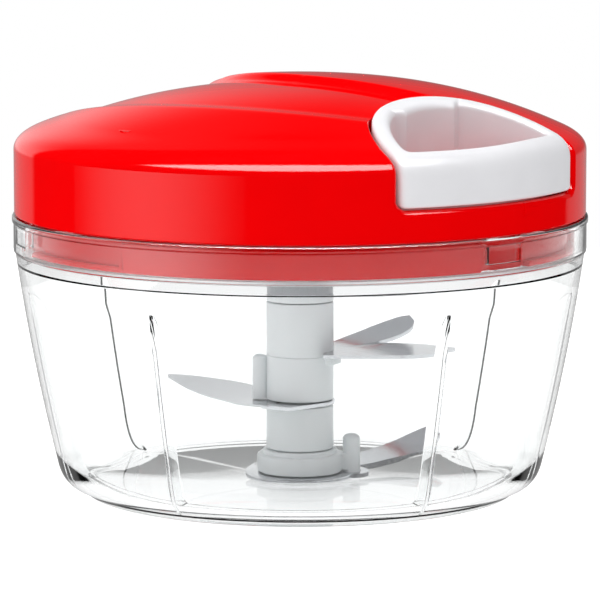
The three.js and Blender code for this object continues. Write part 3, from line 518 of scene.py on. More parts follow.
def clear_san():
    """Clear moulded SAN: glass-like, with lamps let through so that what it holds is lit."""
    material, tree, output = start_material("clear_moulded_san")
    if tree is None:
        return material
    tint = chopper().finishes.clear
    place = add(tree, "ShaderNodeTexCoord").outputs["Object"]
    flow = add(tree, "ShaderNodeTexNoise", {"Scale": 1 / (16 * MM), "Detail": 1.0}, {
        "Vector": place,
    })
    bump = add(tree, "ShaderNodeBump", {"Strength": 0.04, "Distance": 0.1 * MM}, {"Height": flow})
    glass = add(tree, "ShaderNodeBsdfPrincipled", {
        "Base Color": (*tint, 1), "Roughness": 0.02, "IOR": 1.5, "Transmission Weight": 1.0,
    }, {"Normal": bump})
    through = add(tree, "ShaderNodeBsdfTransparent", {"Color": (*tint, 1)})
    ray = add(tree, "ShaderNodeLightPath")
    both = add(tree, "ShaderNodeMixShader", {}, {"Fac": ray.outputs["Is Shadow Ray"]})
    tree.links.new(glass.outputs["BSDF"], both.inputs[1])
    tree.links.new(through.outputs["BSDF"], both.inputs[2])
    tree.links.new(both.outputs["Shader"], output.inputs["Surface"])
    return material


def ground_steel():
    """Polished stainless sheet: a mirror with fine grinding lines that stretch the reflections."""
    material, tree, output = start_material("ground_stainless_steel")
    if tree is None:
        return material
    place = add(tree, "ShaderNodeTexCoord").outputs["Object"]
    # Grinding lines are about 0.4 mm apart and 20 mm long
    fine, long = 1 / (0.4 * MM), 1 / (20 * MM)
    along = add(tree, "ShaderNodeMapping", {"Scale": (long, fine, fine)}, {"Vector": place})
    lines = add(tree, "ShaderNodeTexNoise", {"Scale": 1.0, "Detail": 4.0}, {"Vector": along})
    rough = add(tree, "ShaderNodeMapRange", {
        "From Min": 0.3, "From Max": 0.7, "To Min": 0.1, "To Max": 0.26,
    }, {"Value": lines})
    bump = add(tree, "ShaderNodeBump", {"Strength": 0.15, "Distance": 0.02 * MM}, {"Height": lines})
    shader = add(tree, "ShaderNodeBsdfPrincipled", {
        "Base Color": (*chopper().finishes.steel, 1), "Metallic": 1.0,
    }, {"Roughness": rough, "Normal": bump})
    tree.links.new(shader.outputs["BSDF"], output.inputs["Surface"])
    return material


def silicone():
    """Moulded silicone: clear but milky, so that the seal hardly shows through the bowl."""
    material, tree, output = start_material("moulded_silicone")
    if tree is None:
        return material
    place = add(tree, "ShaderNodeTexCoord").outputs["Object"]
    dust = add(tree, "ShaderNodeTexNoise", {"Scale": 1 / (2 * MM), "Detail": 2.0}, {
        "Vector": place,
    })
    rough = add(tree, "ShaderNodeMapRange", {"To Min": 0.3, "To Max": 0.4}, {"Value": dust})
    shader = add(tree, "ShaderNodeBsdfPrincipled", {
        "Base Color": (*chopper().finishes.clear, 1), "IOR": 1.42, "Transmission Weight": 0.85,
    }, {"Roughness": rough})
    tree.links.new(shader.outputs["BSDF"], output.inputs["Surface"])
    return material


def braided_cord():
    """Braided polyester cord: crossing strands in a herringbone, with painted shade that darkens
    the grooves between the strands.
    """
    material, tree, output = start_material("braided_polyester_cord")
    if tree is None:
        return material
    spot = add(tree, "ShaderNodeUVMap", {"uv_map": "run"})
    parts = add(tree, "ShaderNodeSeparateXYZ", {}, {"Vector": spot})
    run, round_it = parts.outputs["X"], parts.outputs["Y"]
    # The run map counts 1.6 mm strand crossings along the cord, and eight strands round it
    waves = []
    for lean in ("ADD", "SUBTRACT"):
        crossings = add(tree, "ShaderNodeMath", {"operation": lean}, {0: run, 1: round_it})
        turns = add(tree, "ShaderNodeMath", {"operation": "MULTIPLY", 1: 2 * math.pi}, {
            0: crossings,
        })
        waves.append(add(tree, "ShaderNodeMath", {"operation": "SINE"}, {0: turns}))
    weave = add(tree, "ShaderNodeMath", {"operation": "MAXIMUM"}, {0: waves[0], 1: waves[1]})
    # Painted shade: the base colour darkens to 0.6 in the grooves between the strands and stays
    # full on their crests
    shade = add(tree, "ShaderNodeMapRange", {
        "From Min": -1.0, "From Max": 1.0, "To Min": 0.6, "To Max": 1.0,
    }, {"Value": weave})
    tint = add(tree, "ShaderNodeVectorMath", {"operation": "SCALE", 0: chopper().finishes.cord}, {
        "Scale": shade,
    })
    bump = add(tree, "ShaderNodeBump", {"Strength": 0.6, "Distance": 0.15 * MM}, {"Height": weave})
    shader = add(tree, "ShaderNodeBsdfPrincipled", {"Roughness": 0.7, "Sheen Weight": 0.4}, {
        "Base Color": tint, "Normal": bump,
    })
    tree.links.new(shader.outputs["BSDF"], output.inputs["Surface"])
    return material


def pale_floor():
    """Opal white acrylic sheet, lit from below: pale and even behind the clear bowl."""
    material, tree, output = start_material("opal_acrylic_floor")
    if tree is None:
        return material
    place = add(tree, "ShaderNodeTexCoord").outputs["Object"]
    haze = add(tree, "ShaderNodeTexNoise", {"Scale": 1 / (30 * MM), "Detail": 2.0}, {
        "Vector": place,
    })
    rough = add(tree, "ShaderNodeMapRange", {"To Min": 0.2, "To Max": 0.3}, {"Value": haze})
    shader = add(tree, "ShaderNodeBsdfPrincipled", {
        "Base Color": (*chopper().finishes.floor, 1), "Specular IOR Level": 0.0,
        "Emission Color": (1, 1, 1, 1), "Emission Strength": 1.0,
    }, {"Roughness": rough})
    tree.links.new(shader.outputs["BSDF"], output.inputs["Surface"])
    return material


def glowing_card(name, glow):
    """Back-lit silk: even white light that falls off a little towards its edges."""
    material, tree, output = start_material(name)
    if tree is None:
        return material
    place = add(tree, "ShaderNodeTexCoord").outputs["Generated"]
    across = add(tree, "ShaderNodeSeparateXYZ", {}, {"Vector": place})
    off = add(tree, "ShaderNodeMath", {"operation": "SUBTRACT", 1: 0.5}, {0: across.outputs["X"]})
    far = add(tree, "ShaderNodeMath", {"operation": "ABSOLUTE"}, {0: off})
    fall = add(tree, "ShaderNodeMapRange", {
        "interpolation_type": "SMOOTHSTEP",
        "From Min": 0.0, "From Max": 0.5, "To Min": glow, "To Max": glow * 0.06,
    }, {"Value": far})
    light = add(tree, "ShaderNodeEmission", {}, {"Strength": fall})
    tree.links.new(light.outputs["Emission"], output.inputs["Surface"])
    return material


def chopper():
    """The scene's sizes and finishes."""
    return bpy.context.scene.chopper


# Lid surface

DOME_POWER = 2.35
SHOULDER_STEPS = 24


def crown(r):
    """Height of the lid's shallow dome at a radius, flatter in its middle than a sphere."""
    lid = chopper().lid
    edge = lid.wall_radius - lid.shoulder_width
    drop = lid.dome_radius - math.sqrt(lid.dome_radius ** 2 - edge ** 2)
    return lid.top - drop * (r / edge) ** DOME_POWER


def shoulder_line(steps):
    """The lid's shoulder from the crown's edge to the wall, as (radius, height) points."""
    lid = chopper().lid
    edge = lid.wall_radius - lid.shoulder_width
    corner = (lid.wall_radius, crown(lid.wall_radius))
    foot = (lid.wall_radius, crown(edge) - lid.shoulder_drop)
    return bowed((edge, crown(edge)), corner, foot, steps)


def lid_height(r):
    """Height of the lid's outside at a radius, shoulder included."""
    line = shoulder_line(SHOULDER_STEPS)
    if r <= line[0][0]:
        return crown(r)
    for (ra, za), (rb, zb) in zip(line, line[1:]):
        if r <= rb:
            return za + (zb - za) * (r - ra) / max(rb - ra, 1e-9)
    return line[-1][1]


# The crescent lies inside this circle, and the far lobe beyond this parabola
CRESCENT_RADIUS = 95 * MM
CRESCENT_PLACE = Vector((-12.4 * MM, 45.5 * MM))
VALLEY_WIDTH = 9 * MM
LOBE_WIDTH = 3.5 * MM
LOBE_LINE_Y = 1.5 * MM
LOBE_LINE_RADIUS = 111 * MM
RIM_FADE = 9 * MM


def valley(x, y):
    """How far the lid's top drops between its far lobe and the crescent along its near rim."""
    lid = chopper().lid
    reach = (Vector((x, y)) - CRESCENT_PLACE).length
    inside = step_up((CRESCENT_RADIUS - reach) / VALLEY_WIDTH)
    lobe_line = LOBE_LINE_Y + x ** 2 / (LOBE_LINE_RADIUS * 2)
    front = step_up((lobe_line - y) / LOBE_WIDTH)
    edge = lid.wall_radius - lid.shoulder_width
    fade = step_up((edge - math.hypot(x, y)) / RIM_FADE)
    return front * fade * (lid.front_drop + (lid.valley_depth - lid.front_drop) * inside)


# Plan of the handle and its pocket


def handle_centre():
    """X of the centre of the handle's round nose."""
    handle = chopper().handle
    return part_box("pull_handle")[0][0] + handle.nose_radius + handle.nose_shift


def pocket_bottom():
    """Height of the pocket's floor."""
    return chopper().bowl.height + chopper().handle.rise - 0.5 * MM


def nose_cutter(name, radius, low, high, blend):
    """An upright solid with a round nose, open past the lid's wall, its lower edge rounded."""
    blend_steps, nose_steps = 4, 96
    centre = handle_centre()
    far = centre + radius + 30 * MM
    levels = []
    for s in range(blend_steps + 1):
        bend = math.radians(90 * s / blend_steps)
        levels.append((blend * (1 - math.sin(bend)), low + blend * (1 - math.cos(bend))))
    levels.append((0, high))
    rings = []
    for inset, z in levels:
        r = radius - inset
        ring = [(far, r, z)]
        for s in range(nose_steps + 1):
            angle = math.radians(90 + 180 * s / nose_steps)
            ring.append((centre + r * math.cos(angle), r * math.sin(angle), z))
        ring.append((far, -r, z))
        rings.append(ring)
    return skin(name, rings)


POCKET_CORNER = 3 * MM


def pocket_edge_path(radius):
    """Points along the pocket's edge on the lid, each with the direction from the pocket into the
    material."""
    nose_steps, side_steps, corner_steps, floor_steps = 60, 8, 8, 24
    centre = handle_centre()
    low = pocket_bottom()
    line = shoulder_line(SHOULDER_STEPS)
    wall = chopper().lid.wall_radius

    def crossing(r):
        """Where the pocket's side meets a circle round the lid's axis, and the way into the lid."""
        cosine = (r ** 2 - centre ** 2 - radius ** 2) / (2 * centre * radius)
        if cosine < 0:
            sine = math.sqrt(1 - cosine ** 2)
            return centre + radius * cosine, -radius * sine, (cosine, -sine, 0)
        return math.sqrt(r ** 2 - radius ** 2), -radius, (0, -1, 0)

    half = []
    for s in range(nose_steps + 1):
        angle = math.radians(180 + 90 * s / nose_steps)
        away = (math.cos(angle), math.sin(angle), 0)
        x, y = centre + radius * away[0], radius * away[1]
        if math.hypot(x, y) < line[0][0] - 0.3 * MM:
            half.append(((x, y, lid_height(math.hypot(x, y))), away))
    for r, z in line:
        x, y, away = crossing(r)
        half.append(((x, y, z), away))
    top = line[-1][1]
    for s in range(1, side_steps + 1):
        half.append(((x, y, top + (low + POCKET_CORNER - top) * s / side_steps), away))
    side = -y
    for s in range(1, corner_steps + 1):
        bend = math.radians(90 * s / corner_steps)
        y = -(side - POCKET_CORNER + POCKET_CORNER * math.cos(bend))
        z = low + POCKET_CORNER - POCKET_CORNER * math.sin(bend)
        half.append(((math.sqrt(wall ** 2 - y * y), y, z), (0, -math.cos(bend), -math.sin(bend))))
    run = side - POCKET_CORNER
    for s in range(1, floor_steps + 1):
        y = -run + run * s / floor_steps
        half.append(((math.sqrt(wall ** 2 - y * y), y, low), (0, 0, -1)))
    other = [((x, -y, z), (mx, -my, mz)) for (x, y, z), (mx, my, mz) in reversed(half[1:-1])]
    return [(Vector(p), Vector(m)) for p, m in half + other]


def lid_normal(p):
    """The lid's outward normal at a point on its outside."""
    lid = chopper().lid
    r = math.hypot(p.x, p.y)
    edge = lid.wall_radius - lid.shoulder_width
    around = Vector((p.x / r, p.y / r, 0))
    if r <= edge:
        slope = (crown(r) - crown(r + 0.1 * MM)) / (0.1 * MM)
        return (around * slope + Vector((0, 0, 1))).normalized()
    line = shoulder_line(SHOULDER_STEPS)
    if p.z <= line[-1][1]:
        return around
    steps = list(zip(line, line[1:]))
    (ra, za), (rb, zb) = min(steps, key=lambda pair: abs((pair[0][1] + pair[1][1]) / 2 - p.z))
    return (around * (za - zb) + Vector((0, 0, rb - ra))).normalized()


def edge_rounder(name, radius, blend):
    """A looped solid that rounds off the pocket's edge when it is cut from the lid."""
    steps, clear = 6, 1.2 * MM
    path = pocket_edge_path(radius)
    rings = []
    for k, (p, material_way) in enumerate(path):
        along = (path[(k + 1) % len(path)][0] - path[k - 1][0]).normalized()
        normal = lid_normal(p)
        surface = along.cross(normal).normalized()
        if surface.dot(material_way) < 0:
            surface.negate()
        depth = along.cross(material_way).normalized()
        if depth.dot(normal) > 0:
            depth.negate()
        half = surface.angle(depth) / 2
        reach = blend / math.tan(half)
        middle = (surface + depth).normalized()
        centre = p + middle * (blend / math.sin(half))
        first = p + surface * reach - centre
        last = p + depth * reach - centre
        ring = []
        for s in range(steps + 1):
            # The arc stops just short of both faces, so that no sliver of a cut is left on them
            t = 0.06 + 0.88 * s / steps
            arc = (first * (1 - t) + last * t).normalized() * blend
            ring.append(centre + arc)
        ring.append(ring[steps] - surface * clear)
        ring.append(p - middle * clear * 1.6)
        ring.append(ring[0] - depth * clear)
        rings.append(ring)
    return skin(name, rings, looped=True)


# Blade arms: share of the length, leading and trailing edge as shares of the width, and the
# rise of each edge as a share of the arm's height
FIN_SHARES = (
    (0.15, 0.5, -0.5, 0, 0), (0.4, 0.53, -0.5, 0, 0), (0.6, 0.53, -0.5, 0, 0),
    (0.75, 0.46, -0.46, 0, 0), (0.86, 0.35, -0.32, 0, 0), (0.95, 0.22, -0.03, 0, 0),
    (1, 0.15, 0.12, 0, 0),
)
SCYTHE_SHARES = (
    (0.02, 0.72, -0.32, 0, 0), (0.25, 0.74, -0.33, 0, 0), (0.35, 0.66, -0.31, 0, 0.25),
    (0.5, 0.54, -0.28, 0.05, 0.6), (0.7, 0.36, -0.2, 0.3, 0.85), (0.87, 0.18, -0.1, 0.7, 1),
    (1, 0.02, -0.01, 1, 1),
)
HORN_SHARES = (
    (0.15, 0.5, -0.5, 0, 0), (0.28, 0.5, -0.5, 0, 0), (0.5, 0.56, -0.42, 0.22, 0.02),
    (0.7, 0.6, -0.34, 0.46, 0.1), (0.85, 0.6, -0.34, 0.74, 0.27), (0.95, 0.5, -0.24, 0.94, 0.48),
    (1, 0.3, 0, 1, 0.7),
)

# The scythe's heel in front of the post, in mm
HEEL = ((0, -15), (8.7, -12.9), (9.9, 0.5), (0, 0))


def between(rows, t):
    """A smooth row at t along rows of numbers whose first number is the place along."""
    k = max(i for i in range(len(rows) - 1) if rows[i][0] <= t or i == 0)
    a, b = rows[k], rows[k + 1]
    before, after = rows[max(k - 1, 0)], rows[min(k + 2, len(rows) - 1)]
    span = b[0] - a[0]
    u = (t - a[0]) / span
    row = [t]
    for n in range(1, len(a)):
        slope_a = (b[n] - before[n]) / (b[0] - before[0]) * span
        slope_b = (after[n] - a[n]) / (after[0] - a[0]) * span
        row.append(
            a[n] * (2 * u ** 3 - 3 * u ** 2 + 1) + slope_a * (u ** 3 - 2 * u ** 2 + u)
            + b[n] * (3 * u ** 2 - 2 * u ** 3) + slope_b * (u ** 3 - u ** 2)
        )
    return row


def blade_arm(name, shares, reach, width, height, turned):
    """An arm of blade sheet, its under face ground to a bevel along the leading edge."""
    stack = chopper().stack
    thick = stack.blade_thickness
    rings = []
    steps = 36
    first, last = shares[0][0], shares[-1][0]
    for s in range(steps + 1):
        t = first + (last - first) * s / steps
        _, lead, trail, lead_rise, trail_rise = between(shares, t)
        x = reach * t
        lead, trail = lead * width, trail * width
        lead_rise, trail_rise = lead_rise * height, trail_rise * height
        bevel = min(stack.edge_bevel, (lead - trail) / 2)

        def rise(y):
            return trail_rise + (lead_rise - trail_rise) * (y - trail) / max(lead - trail, 1e-6)

        ground = lead - bevel
        rings.append([
            (x, trail, trail_rise), (x, ground, rise(ground)), (x, lead, lead_rise + thick * 0.8),
            (x, lead, lead_rise + thick), (x, ground, rise(ground) + thick),
            (x, trail, trail_rise + thick),
        ])
    arm = skin(name, rings)
    turn_about_axis(arm, turned)
    return arm


def tube_run(name, points, radius, sides, crossing):
    """A cord's tube along points, with a map that counts strand crossings along and round it."""
    rings = []
    runs = [0.0]
    for a, b in zip(points, points[1:]):
        runs.append(runs[-1] + (b - a).length)
    shape = bmesh.new()
    layer = shape.loops.layers.uv.new("run")
    upright = Vector((0, 0, 1))
    for k, p in enumerate(points):
        along = (points[min(k + 1, len(points) - 1)] - points[max(k - 1, 0)]).normalized()
        across = along.cross(upright).normalized()
        above = across.cross(along)
        ring = []
        for s in range(sides):
            angle = 2 * math.pi * s / sides
            out = across * math.cos(angle) + above * math.sin(angle)
            ring.append(shape.verts.new(p + out * radius))
        rings.append(ring)
    for k in range(len(rings) - 1):
        for s in range(sides):
            on = (s + 1) % sides
            face = shape.faces.new((rings[k][s], rings[k][on], rings[k + 1][on], rings[k + 1][s]))
            spots = ((k, s), (k, s + 1), (k + 1, s + 1), (k + 1, s))
            for loop, (row, side) in zip(face.loops, spots):
                loop[layer].uv = (runs[row] / crossing, 4 * side / sides)
    shape.faces.new(rings[0])
    shape.faces.new(rings[-1])
    return settle(shape, name)


# Operators


class CHOPPER_OT_stage(Operator):
    """Adds the camera, the pale floor and the soft studio lights"""

    bl_idname = "chopper.stage"
    bl_label = "Stage"

    def execute(self, context):
        studio = chopper().studio
        scene = context.scene
        yaw = math.radians(studio.azimuth)
        away = studio.distance
        bpy.ops.object.select_all(action="DESELECT")
        bpy.ops.object.camera_add(
            location=(away * math.sin(yaw), -away * math.cos(yaw), studio.height),
            rotation=(math.radians(90 - studio.pitch), 0, yaw),
        )
        camera = context.active_object
        camera.name = "photo_camera"
        camera.data.lens = studio.lens
        camera.data.clip_start = 0.05
        scene.camera = camera
        bpy.ops.mesh.primitive_circle_add(vertices=96, radius=studio.floor_radius, fill_type="NGON")
        floor = context.active_object
        floor.name = "floor"
        floor.data.materials.append(pale_floor())
        floor.visible_glossy = False
        self.softbox()
        self.card(
            "left_card", studio.azimuth, turned=-60, distance=1.3, height=-0.15,
            width=2.1, rise=0.55, glow=2.7,
        )
        self.surroundings(scene, yaw)
        scene.view_settings.view_transform = "Standard"
        return {"FINISHED"}

    @staticmethod
    def softbox():
        """A broad lamp over the chopper that whitens the floor and the top of the lid. No mirror
        shows it: the strip of the surroundings is what the lid's shoulder mirrors."""
        bpy.ops.object.light_add(type="AREA", location=(0, 0, 1.2))
        lamp = bpy.context.active_object
        lamp.name = "top_softbox"
        lamp.data.size = 1.2
        lamp.data.energy = chopper().studio.softbox_power
        lamp.visible_glossy = False

    @staticmethod
    def card(name, azimuth, turned, distance, height, width, rise, glow):
        """A glowing card that only reflections see, brightest at its middle. It stands turned
        round the axis from the camera's side, and faces the lid."""
        angle = math.radians(azimuth + turned)
        place = Vector((distance * math.sin(angle), -distance * math.cos(angle), height))
        bpy.ops.object.select_all(action="DESELECT")
        bpy.ops.mesh.primitive_plane_add(size=1)
        card = bpy.context.active_object
        card.name = name
        card.scale = (width, rise, 1)
        card.rotation_euler = (math.radians(90), 0, angle)
        card.location = place
        card.data.materials.append(glowing_card(f"{name}_silk", glow))
        for kind in ("camera", "diffuse", "transmission", "shadow"):
            setattr(card, f"visible_{kind}", False)

    @staticmethod
    def surroundings(scene, yaw):
        """A white room that each kind of ray sees in its own way.

        Reflections outside the bowl see it dark, but for a pale wall at the back on the left and
        a bright strip high on the camera's side. The camera, and what is seen through the bowl,
        see it white, dimmer towards the camera's side. Scattered light falls more from the left.
        """
        world = bpy.data.worlds.new("studio")
        scene.world = world
        world.use_nodes = True
        tree = world.node_tree
        tree.nodes.clear()
        way = add(tree, "ShaderNodeTexCoord").outputs["Generated"]
        up = add(tree, "ShaderNodeSeparateXYZ", {}, {"Vector": way}).outputs["Z"]
        beyond = add(tree, "ShaderNodeVectorMath", {
            "operation": "DOT_PRODUCT", 1: (-math.sin(yaw), math.cos(yaw), 0),
        }, {0: way}).outputs["Value"]
        right = add(tree, "ShaderNodeVectorMath", {
            "operation": "DOT_PRODUCT", 1: (math.cos(yaw), math.sin(yaw), 0),
        }, {0: way}).outputs["Value"]
        ray = add(tree, "ShaderNodeLightPath").outputs
        outside = add(tree, "ShaderNodeMath", {"operation": "LESS_THAN", 1: 0.5}, {
            0: ray["Transmission Depth"],
        })
        scattered = add(tree, "ShaderNodeMath", {"operation": "GREATER_THAN", 1: 0.5}, {
            0: ray["Diffuse Depth"],
        })
        parts = {"glossy": ray["Is Glossy Ray"], "outside": outside}
        # Every ramp: where along a direction it starts and ends, and its first and last light
        for name, source, start, end, first, last in (
            ("at_back", beyond, 0.66, 0.72, 0, 1), ("on_left", right, -0.3, 0.05, 1.0, 0.12),
            ("low_left", up, -0.09, 0.03, 0, 1), ("low_back", up, -0.09, 0.03, 0.36, 0),
            ("high_fade", up, 0.2, 0.6, 1, 0.12),
            ("strip_up", up, 0.6, 0.72, 0, 22), ("strip_near", beyond, -0.22, -0.1, 1, 0),
            ("dim_half", beyond, -0.3, 0.5, 0.5, 1.0), ("dim_near", beyond, -0.95, -0.7, 0.12, 1.0),
        ):
            parts[name] = add(tree, "ShaderNodeMapRange", {
                "interpolation_type": "SMOOTHSTEP",
                "From Min": start, "From Max": end, "To Min": first, "To Max": last,
            }, {"Value": source})
        # Every step joins two of the parts before it
        for name, operation, one, other in (
            ("left_wall", "MULTIPLY", "on_left", "low_left"),
            ("high_back", "MULTIPLY", "left_wall", "high_fade"),
            ("wall", "ADD", "high_back", "low_back"),
            ("back", "MULTIPLY", "at_back", "wall"),
            ("strip", "MULTIPLY", "strip_up", "strip_near"),
            ("bright", "ADD", "back", "strip"),
            ("through", "MULTIPLY", "dim_half", "dim_near"),
            ("mirroring", "MULTIPLY", "glossy", "outside"),
        ):
            parts[name] = add(tree, "ShaderNodeMath", {"operation": operation}, {
                0: parts[one], 1: parts[other],
            })
        mirrored = add(tree, "ShaderNodeMath", {"operation": "ADD", 1: 0.012}, {0: parts["bright"]})
        lit = add(tree, "ShaderNodeMapRange", {
            "From Min": -1.0, "From Max": 1.0, "To Min": 1.22, "To Max": 0.36,
        }, {"Value": right})
        seen = add(tree, "ShaderNodeMix", {}, {
            "Factor": parts["mirroring"], "A": parts["through"], "B": mirrored,
        })
        either = add(tree, "ShaderNodeMix", {}, {"Factor": scattered, "A": seen, "B": lit})
        glow = add(tree, "ShaderNodeBackground", {"Color": (1, 1, 1, 1)}, {"Strength": either})
        add(tree, "ShaderNodeOutputWorld", {}, {"Surface": glow})


class CHOPPER_OT_bowl(Operator):
    """Adds the clear bowl with its collar, ledge, ribs, lugs and the boss of the pin"""

    bl_idname = "chopper.bowl"
    bl_label = "Bowl"

    rib_turns = (-130, -74, -31, 31, 74, 130, 180)
    rib_start = -44.2
    lug_turns = (0, 120, 240)
    lug_turn = 9
    lug_drop = 1.9 * MM

    def execute(self, context):
        steps = chopper().studio.fine_turn
        bowl = lathe("bowl_shell", self.outline(), steps)
        boss = lathe("boss", rounded([
            (0, 3 * MM, 0), (4.6 * MM, 3 * MM, 0), (4.6 * MM, 7.2 * MM, 0.6 * MM), (0, 7.2 * MM, 0),
        ]), 48)
        combine(bowl, boss, "UNION")
        combine(bowl, rod("bore", PIN_BORE, 2.8 * MM, 9 * MM, 48), "DIFFERENCE")
        for at in self.rib_turns:
            rib = self.rib()
            turn_about_axis(rib, at + self.rib_start)
            combine(bowl, rib, "UNION")
        for at in self.lug_turns:
            combine(bowl, self.lug(at), "UNION")
        finish_piece(bowl, clear_san(), "bowl", ["bowl"])
        return {"FINISHED"}

    @staticmethod
    def curves():
        """The outside's corner curve and side line, as end and control points."""
        size = chopper().bowl
        foot = size.foot_radius + 1.5 * MM
        corner = size.foot_radius + 7.9 * MM
        bulge = 1.4 * MM
        top = size.rim_radius - 0.9 * MM
        collar = size.height - size.collar_height
        corner_height = 8.8 * MM
        bend = ((foot, size.underside), (corner - bulge, size.underside), (corner, corner_height))
        side = (
            (corner, corner_height),
            ((corner + top) / 2 + bulge, (corner_height + collar) / 2 - bulge / 2),
            (top, collar - 0.5 * MM),
        )
        return bend, side

    def outline(self):
        """The bowl's outline, from the axis under the floor, up outside and down inside."""
        size = chopper().bowl
        bend, side = self.curves()
        foot = size.foot_radius
        under = size.underside
        collar = size.height - size.collar_height
        proud = size.rim_radius - 0.4 * MM
        collar_inner = proud - size.collar_wall
        ledge = collar - size.ledge_drop
        ledge_inner = collar_inner - size.ledge_width
        floor = under + size.floor
        low = rounded([
            (foot - size.foot_width, under, 0.6 * MM), (foot - size.foot_width, 0, 0.9 * MM),
            (foot, 0, 1.0 * MM), (bend[0][0], under, 0.5 * MM), (bend[1][0], under, 0),
        ])[:-1]
        outside = [(0, under)] + low + bowed(*bend, 12)[1:] + bowed(*side, 16)[1:]
        top = size.height
        neck = side[2][0]
        rim = rounded([
            (neck, side[2][1] - 2 * MM, 0), (neck + 0.1 * MM, collar - 0.4 * MM, 0.2 * MM),
            (proud, collar, 0.25 * MM), (proud, top - 2.0 * MM, 0.2 * MM),
            (size.rim_radius, top - 1.7 * MM, 0.3 * MM), (size.rim_radius, top, 0.6 * MM),
            (collar_inner, top, 0.6 * MM), (collar_inner, ledge, 0.3 * MM),
            (ledge_inner, ledge, 0.6 * MM), (ledge_inner, ledge - 3 * MM, 0),
        ])[1:-1]
        inner_side = [(r - size.wall, z) for r, z in bowed(*side, 16) if z < ledge - 2 * MM]
        corner = inner_side[0]
        inner_side.reverse()
        floor_corner = bowed((corner[0] - 5 * MM, floor), (corner[0], floor), inner_side[-3], 10)
        floor_corner.reverse()
        return outside + rim + inner_side[:-3] + floor_corner + [(0, floor)]

    def radius_at(self, z):
        """Outer radius of the bowl at a height."""
        bend, side = self.curves()
        line = bowed(*bend, 24) + bowed(*side, 24)[1:]
        for (ra, za), (rb, zb) in zip(line, line[1:]):
            if z <= zb:
                return ra + (rb - ra) * (z - za) / max(zb - za, 1e-9)
        return line[-1][0]

    def rib(self):
        """A fin on the inside of the wall, with a rounded crest and a hooked top."""
        size = chopper().bowl
        base = size.underside + size.floor / 2
        hook_height = 11 * MM
        steps = 40
        rings = []
        for s in range(steps + 1):
            # The levels lie closer together towards the hook
            share = 1 - (1 - s / steps) ** 1.6
            z = base + (size.rib_top - base) * share
            in_wall = self.radius_at(z) - size.wall / 2
            hook = min((size.rib_top - z) / hook_height, 1)
            depth = size.rib_depth * math.sqrt(max(hook, 0))
            crest = in_wall - size.wall / 2 - depth - 0.02 * MM
            half = size.rib_thickness / 2
            blend = min(0.55 * MM, (in_wall - crest) * 0.4)
            side = [
                (in_wall, -half), (crest + blend, -half * 0.75), (crest + blend * 0.3, -half * 0.6),
                (crest, -half * 0.25),
            ]
            other = [(x, -y) for x, y in reversed(side)]
            rings.append([(x, y, z) for x, y in side + other])
        return skin("rib", rings)

    def lug(self, at):
        """A bayonet lug inside the collar."""
        size = chopper().bowl
        inner = size.rim_radius - 0.4 * MM - size.collar_wall
        top = size.height - self.lug_drop
        low = top - size.lug_height
        root = inner + size.collar_wall / 2
        nose = inner - size.lug_depth
        outline = closed(rounded([
            (root, low, 0), (root, top, 0), (nose, top, 0.4 * MM), (nose, low, 0.4 * MM),
        ]))
        return lathe("lug", outline, 8, start=at - self.lug_turn / 2, sweep=self.lug_turn)


